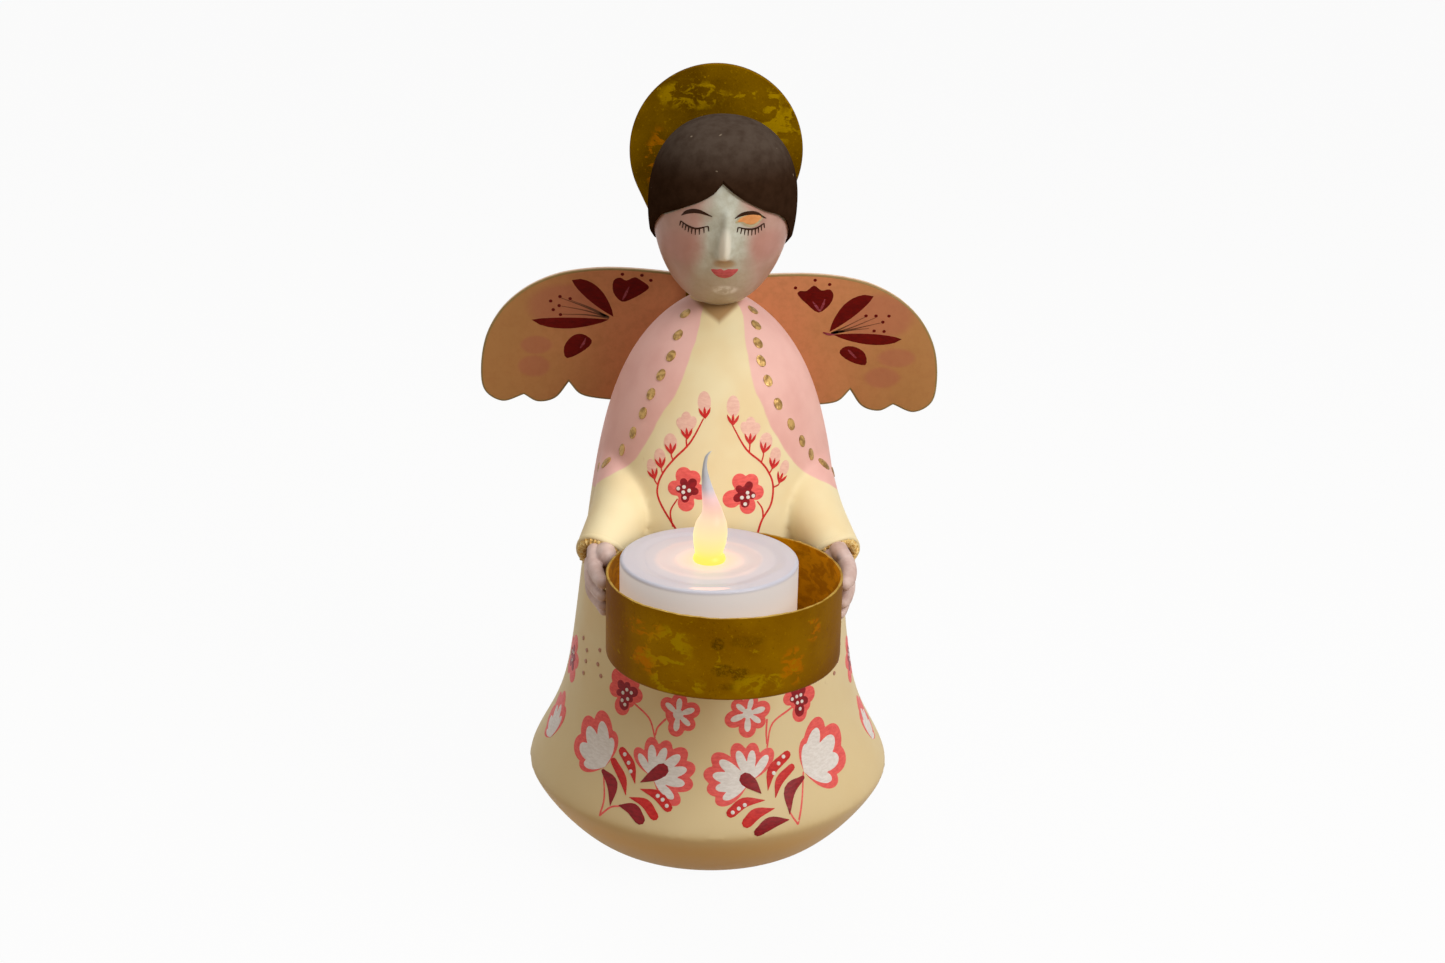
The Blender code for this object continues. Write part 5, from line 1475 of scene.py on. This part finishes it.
STAMENS = (((-24.8, 120.4), (-29.0, 122.6), (-33.6, 124.4)),
           ((-24.8, 120.3), (-30.0, 121.9), (-35.9, 123.0)),
           ((-24.8, 120.2), (-30.0, 120.9), (-35.6, 121.0)),
           ((-24.8, 120.4), (-30.5, 122.9), (-36.0, 125.0)),
           ((28.6, 116.9), (33.0, 118.2), (39.0, 120.8)), ((28.6, 116.8), (34.0, 118.0), (40.2, 119.5)),
           ((28.6, 116.7), (33.0, 117.6), (37.4, 118.1)), ((28.6, 116.9), (32.0, 118.6), (36.4, 120.9)))
WING_HIGHLIGHTS = (((-21.4, 124.7), (-20.6, 126.3), (-19.9, 127.8)),
                   ((-31.4, 112.9), (-30.6, 114.0), (-30.2, 115.2)),
                   ((25.4, 122.4), (24.6, 123.4), (23.7, 124.6)),
                   ((25.6, 122.4), (26.2, 123.8), (26.6, 125.2)),
                   ((34.6, 110.8), (33.4, 112.0), (32.6, 112.8)),
                   ((26.6, 117.0), (27.8, 116.6), (29.4, 116.5)))


def paint_wings(pots):
    canvas = WingCanvas()
    for start, end, left, right in WING_BLADES:
        lay_paint(pots["maroon"], canvas, blade(start, end, left, right), 1.0, 0.12)
    for bud in WING_BUDS:
        lay_paint(pots["maroon"], canvas, smooth_run(bud, 3, True), 1.0, 0.12)
    for x, y in WING_DOTS:
        lay_paint(pots["maroon"], canvas, placed_outline(oval(0.85, 0.75, 10), x, y), 1.4, 0.12)
    for stamen in STAMENS:
        lay_paint(pots["umber"], canvas, brush_stroke(stamen, (0.5, 0.28, 0.12)), 1.0, 0.05)
    for streak in WING_HIGHLIGHTS:
        lay_paint(pots["mauve"], canvas, brush_stroke(streak, (0.35, 0.6, 0.15)), 2.0, 0.08)


def cad_material(node, finish):
    """Gives a kept node of the part a better finish."""
    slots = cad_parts[node].data.materials
    slots.clear()
    slots.append(finish)


def make_figure_pieces():
    robe_bm = make_robe()
    robe_skin = BVHTree.FromBMesh(robe_bm)
    add_piece("robe", robe_bm, robe_finish(), "painted_resin", ["figure"])
    head_bm = make_head()
    head_skin = BVHTree.FromBMesh(head_bm)
    add_piece("head", head_bm, skin_finish(), "painted_resin")
    add_piece("hair", make_hair(), hair_finish(), "painted_resin")
    hand_paint = hand_finish()
    trim = trim_finish()
    sleeve_paint = robe_finish()
    for side, word in ((-1, "left"), (1, "right")):
        add_piece("hand_" + word, make_hand(side), hand_paint, "painted_resin")
        add_piece("cuff_" + word, make_cuff(side), sleeve_paint, "painted_resin")
        add_piece("cuff_trim_" + word, make_trim(side), trim, "gold_leaf")
    neck = spun([(0.0, ROBE_TOP - 0.008), (NECK_RADIUS, ROBE_TOP - 0.006), (NECK_RADIUS, ROBE_TOP + 0.006),
                 (0.0, ROBE_TOP + 0.008)], 64)
    # The neck under the chin gets the warm cream and the painted-shade cream, darker than the chest.
    add_piece("neck", neck, paint_finish("neck_paint", CREAM_WARM, CREAM_PAINTED_SHADE), "painted_resin")
    return robe_skin, head_skin


def make_paint(robe_skin, head_skin):
    """All the strokes, one piece for each colour."""
    finishes = {
        "coral": (paint_finish("coral_paint", srgb(238, 106, 100), srgb(220, 84, 84)), "painted_resin"),
        "wine": (paint_finish("wine_paint", srgb(150, 18, 30), srgb(116, 8, 18)), "painted_resin"),
        "scarlet": (paint_finish("scarlet_paint", srgb(210, 48, 42), srgb(184, 28, 30)), "painted_resin"),
        "white": (paint_finish("white_paint", srgb(234, 232, 230), srgb(218, 214, 210)), "painted_resin"),
        "blush": (paint_finish("blush_paint", srgb(236, 196, 180), srgb(226, 178, 164)), "painted_resin"),
        "cream_dots": (paint_finish("dot_paint", srgb(192, 148, 124), srgb(166, 118, 98)), "painted_resin"),
        "gold": (gold_paint_finish(), "gold_leaf"),
        "brown": (paint_finish("brow_paint", srgb(62, 36, 22), srgb(46, 26, 15), level=0.08),
                  "painted_resin"),
        "grey": (paint_finish("hairline_paint", srgb(160, 158, 148), srgb(128, 126, 118)), "painted_resin"),
        "pearl": (paint_finish("pearl_paint", srgb(196, 190, 158), srgb(180, 172, 138)), "painted_resin"),
        "lips": (paint_finish("lip_paint", srgb(206, 96, 98), srgb(184, 76, 80)), "painted_resin"),
        "orange": (paint_finish("eyelid_paint", srgb(240, 172, 112), srgb(228, 156, 98)), "painted_resin"),
        "maroon": (paint_finish("maroon_paint", srgb(104, 8, 2), srgb(84, 4, 1), 0.45, level=0.10),
                   "painted_sheet"),
        "umber": (paint_finish("umber_paint", srgb(104, 62, 34), srgb(88, 50, 26)), "painted_sheet"),
        "mauve": (paint_finish("mauve_paint", srgb(150, 70, 84), srgb(116, 24, 24)), "painted_sheet"),
    }
    pots = {colour: bmesh.new() for colour in finishes}
    paint_chest(pots, robe_skin)
    paint_skirt(pots, robe_skin)
    paint_face(pots, head_skin)
    paint_wings(pots)
    for colour, (finish, slot) in finishes.items():
        add_piece("paint_" + colour, pots[colour], finish, slot)


def make_screws(steel):
    """Pan-head screws with a cross recess, behind the wings."""
    for node in ("lower_screw", "upper_screw"):
        low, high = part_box(node)
        centre = (low + high) / 2
        radius = (high.x - low.x) / 2
        length = high.y - low.y
        head = 0.0018
        shank = 0.00145
        profile = [(0.0, 0.0), (0.0009, 0.0), (shank, 0.001), (shank, length - head), (radius, length - head)]
        profile += [(radius * math.cos(math.radians(angle)) ** 0.6,
                     length - head + head * math.sin(math.radians(angle)))
                    for angle in (10, 25, 40, 55, 70, 82)]
        profile.append((0.0, length))
        bm = spun(profile, 48)
        tools = []
        for size in ((0.0028, 0.0006), (0.0006, 0.0028)):
            slot = bmesh.new()
            place = Matrix.Translation((0.0, 0.0, length)) @ Matrix.Diagonal((size[0], size[1], 0.0016, 1.0))
            bmesh.ops.create_cube(slot, size=1.0, matrix=place)
            tools.append(without(slot))
        bm = worked(bm, tools)
        turn = Matrix.Translation((centre.x, low.y, centre.z)) @ Matrix.Rotation(-math.pi / 2, 4, "X")
        bmesh.ops.transform(bm, matrix=turn, verts=bm.verts)
        add_piece("visible_" + node, bm, steel, "steel", [node])


def finish_inner_nodes(steel):
    """Finishes for the nodes inside and under the tealight, which keep the solid's own shape."""
    white = plain_finish("moulded_white", srgb(236, 234, 238), srgb(226, 223, 226), 300.0, 0.38)
    brass = plain_finish("brass", srgb(206, 168, 96), srgb(184, 144, 76), 800.0, 0.34, 1.0)
    board = plain_finish("board_green", srgb(40, 112, 66), srgb(30, 94, 54), 500.0, 0.45)
    clear = plain_finish("led_clear", srgb(246, 232, 190), srgb(238, 220, 170), 200.0, 0.18)
    black = plain_finish("switch_black", srgb(34, 34, 36), srgb(24, 24, 26), 700.0, 0.5)
    finishes = {"candle_base": white, "battery_door": white, "door_screw": steel, "coin_cell": steel,
                "contact_positive": brass, "contact_negative": brass, "switch_body": steel,
                "circuit_board": board, "led": clear, "switch_knob": black}
    for node, finish in finishes.items():
        cad_material(node, finish)


# Floor and background: white to the camera and in reflections, a dim warm room to everything else
WHITE = (1.0, 1.0, 1.0, 1.0)
FLOOR_SIZE = 4.0
BACKGROUND_WHITE = 0.985
FLOOR_GLOW = 0.965
WORLD_LIGHT = 0.26
WORLD_TINT = (1.0, 0.92, 0.82, 1.0)
FLOOR_PALE = (0.86, 0.86, 0.86, 1.0)
FLOOR_BOUNCE = (0.34, 0.20, 0.07, 1.0)


def seen_rays(tree):
    """1 for rays from the camera and for reflections and refractions of it."""
    rays = Shade(tree).node("LightPath").socket.node
    kinds = [Shade(tree, rays.outputs[name])
             for name in ("Is Camera Ray", "Is Glossy Ray", "Is Transmission Ray")]
    return (kinds[0] + kinds[1] + kinds[2]).step(0.0, 1.0)


def make_stage():
    floor_bm = bmesh.new()
    bmesh.ops.create_grid(floor_bm, x_segments=1, y_segments=1, size=FLOOR_SIZE)
    mesh = bpy.data.meshes.new("floor")
    floor_bm.to_mesh(mesh)
    floor_bm.free()
    floor = bpy.data.objects.new("floor", mesh)
    bpy.context.scene.collection.objects.link(floor)
    finish = bpy.data.materials.new("floor")
    finish.use_nodes = True
    tree = finish.node_tree
    surface = tree.nodes["Principled BSDF"]
    seen = seen_rays(tree)
    tree.links.new(seen.mix(FLOOR_BOUNCE, FLOOR_PALE).socket, surface.inputs["Base Color"])
    surface.inputs["Roughness"].default_value = 0.9
    surface.inputs["Specular IOR Level"].default_value = 0.0
    glow = seen.node("Emission", None, {"Color": WHITE, "Strength": BACKGROUND_WHITE})
    mixed = seen.node("MixShader", None,
                      {0: seen * FLOOR_GLOW, 1: Shade(tree, surface.outputs[0]), 2: glow})
    tree.links.new(mixed.socket, tree.nodes["Material Output"].inputs["Surface"])
    mesh.materials.append(finish)

    world = bpy.data.worlds.new("studio")
    bpy.context.scene.world = world
    world.use_nodes = True
    tree = world.node_tree
    seen = seen_rays(tree)
    background = tree.nodes["Background"]
    tree.links.new(seen.mix(WORLD_TINT, WHITE).socket, background.inputs["Color"])
    tree.links.new((seen * (BACKGROUND_WHITE - WORLD_LIGHT) + WORLD_LIGHT).socket,
                   background.inputs["Strength"])


# Lamps: name, place, size, power and colour
AIM = Vector((0.0, -0.01, 0.09))
LAMPS = (
    ("key", (0.46, -0.46, 0.56), 0.40, 4.6, (1.0, 0.97, 0.93)),
    ("fill", (-0.55, -0.45, 0.25), 0.50, 0.55, (1.0, 0.94, 0.88)),
    ("top", (-0.05, 0.06, 0.75), 0.50, 1.9, (1.0, 0.98, 0.96)),
)
CANDLE_GLOW_POWER = 0.006
CANDLE_GLOW_SIZE = 0.004
CANDLE_GLOW_COLOUR = (1.0, 0.62, 0.34)
CANDLE_GLOW_HEIGHT = SHELL_HIGH.z + 0.0075


def make_lights():
    for name, place, size, power, colour in LAMPS:
        lamp = bpy.data.lights.new(name, "AREA")
        lamp.size = size
        lamp.energy = power
        lamp.color = colour
        holder = bpy.data.objects.new(name, lamp)
        holder.location = place
        holder.rotation_euler = (AIM - Vector(place)).to_track_quat("-Z", "Y").to_euler()
        bpy.context.scene.collection.objects.link(holder)
    glow = bpy.data.lights.new("candle_glow", "POINT")
    glow.energy = CANDLE_GLOW_POWER
    glow.color = CANDLE_GLOW_COLOUR
    glow.shadow_soft_size = CANDLE_GLOW_SIZE
    holder = bpy.data.objects.new("candle_glow", glow)
    holder.location = (CANDLE_CENTRE.x, CANDLE_CENTRE.y, CANDLE_GLOW_HEIGHT)
    bpy.context.scene.collection.objects.link(holder)


def make_camera():
    a, e, r = CAMERA_AZIMUTH, CAMERA_ELEVATION, CAMERA_ROLL
    back = Vector((math.sin(a) * math.cos(e), -math.cos(a) * math.cos(e), math.sin(e)))
    right = Vector((math.cos(a), math.sin(a), 0.0))
    up = back.cross(right)
    image_right = right * math.cos(r) + up * math.sin(r)
    image_up = up * math.cos(r) - right * math.sin(r)
    aim = Vector((CAMERA_AIM_ASIDE * math.cos(a), CAMERA_AIM_ASIDE * math.sin(a), CAMERA_AIM_HEIGHT))
    lens = bpy.data.cameras.new("camera")
    lens.lens = CAMERA_LENS
    lens.sensor_width = CAMERA_SENSOR
    camera = bpy.data.objects.new("camera", lens)
    turn = Matrix((image_right, image_up, back)).transposed().to_4x4()
    camera.matrix_world = Matrix.Translation(aim + back * CAMERA_DISTANCE) @ turn
    bpy.context.scene.collection.objects.link(camera)
    bpy.context.scene.camera = camera


def cup_flecks():
    """Main marks in the cup's leaf: colour, how strong, place and radii."""
    front = CUP_LOW.y
    floor = CUP_LOW.z
    return ((GOLD_ORANGE, 0.9, (-0.0165, front + 0.006, floor + 0.0125), (0.0050, 0.02, 0.0030)),
            (GOLD_ORANGE, 0.8, (-0.0160, front + 0.006, floor + 0.0070), (0.0040, 0.02, 0.0040)),
            (GOLD_YELLOW, 0.9, (-0.0115, front + 0.004, floor + 0.0095), (0.0060, 0.02, 0.0060)),
            (GOLD_YELLOW, 0.8, (-0.0090, front + 0.003, floor + 0.0030), (0.0070, 0.02, 0.0025)),
            (GOLD_DARK, 0.60, (-0.0016, front, floor + 0.0068), (0.0024, 0.02, 0.0016)),
            (GOLD_DARK, 0.65, (-0.0024, front, floor + 0.0124), (0.0016, 0.02, 0.0016)),
            (GOLD_DARK, 0.30, (0.0030, front, floor + 0.0130), (0.0040, 0.02, 0.0015)),
            (GOLD_DARK, 0.60, (0.0024, front, floor + 0.0056), (0.0024, 0.02, 0.0018)),
            (GOLD_DARK, 0.45, (-0.0004, front, floor + 0.0032), (0.0026, 0.02, 0.0010)),
            (GOLD_YELLOW, 0.9, (0.0060, front + 0.001, floor + 0.0035), (0.0070, 0.02, 0.0030)),
            (GOLD_ORANGE, 0.9, (0.0170, front + 0.006, floor + 0.0125), (0.0020, 0.02, 0.0028)),
            (GOLD_ORANGE, 0.8, (0.0128, front + 0.004, floor + 0.0060), (0.0030, 0.02, 0.0050)))


def halo_flecks():
    """Main marks in the halo's leaf: colour, how strong, place and radii."""
    front = HALO_LOW.y
    middle = HALO_CENTRE_HEIGHT
    return ((GOLD_ORANGE, 0.7, (-0.0130, front, middle - 0.004), (0.004, 0.02, 0.012)),
            (GOLD_YELLOW, 0.9, (0.0110, front, middle + 0.008), (0.010, 0.02, 0.008)),
            (GOLD_YELLOW, 0.7, (-0.0060, front, middle + 0.013), (0.010, 0.02, 0.004)))


def build():
    make_camera()
    cup_leaf = gold_leaf_finish("cup_leaf", srgb(118, 78, 0), srgb(138, 98, 0), cup_flecks(), bowl=True)
    halo_leaf = gold_leaf_finish("halo_leaf", srgb(84, 56, 0), srgb(112, 80, 0), halo_flecks())
    robe_skin, head_skin = make_figure_pieces()
    make_paint(robe_skin, head_skin)
    add_piece("gilt_halo", make_halo(), halo_leaf, "gold_leaf", ["halo"])
    add_piece("painted_wings", make_wings(), [wing_finish(), wing_edge_finish()], "painted_sheet",
              ["wings"])
    add_piece("gilt_cup", make_cup(), cup_leaf, "gold_leaf", ["cup"])
    add_piece("candle_body", make_candle(), candle_finish(), "candle_white", ["candle_shell"])
    flame = add_piece("flame", make_flame(), flame_finish(), "flame", ["candle_flame"])
    flame.visible_shadow = False
    steel = plain_finish("steel", srgb(190, 192, 196), srgb(168, 170, 174), 900.0, 0.28, 1.0)
    make_screws(steel)
    finish_inner_nodes(steel)
    make_stage()
    make_lights()
    bpy.context.scene.view_settings.view_transform = "Standard"


build()
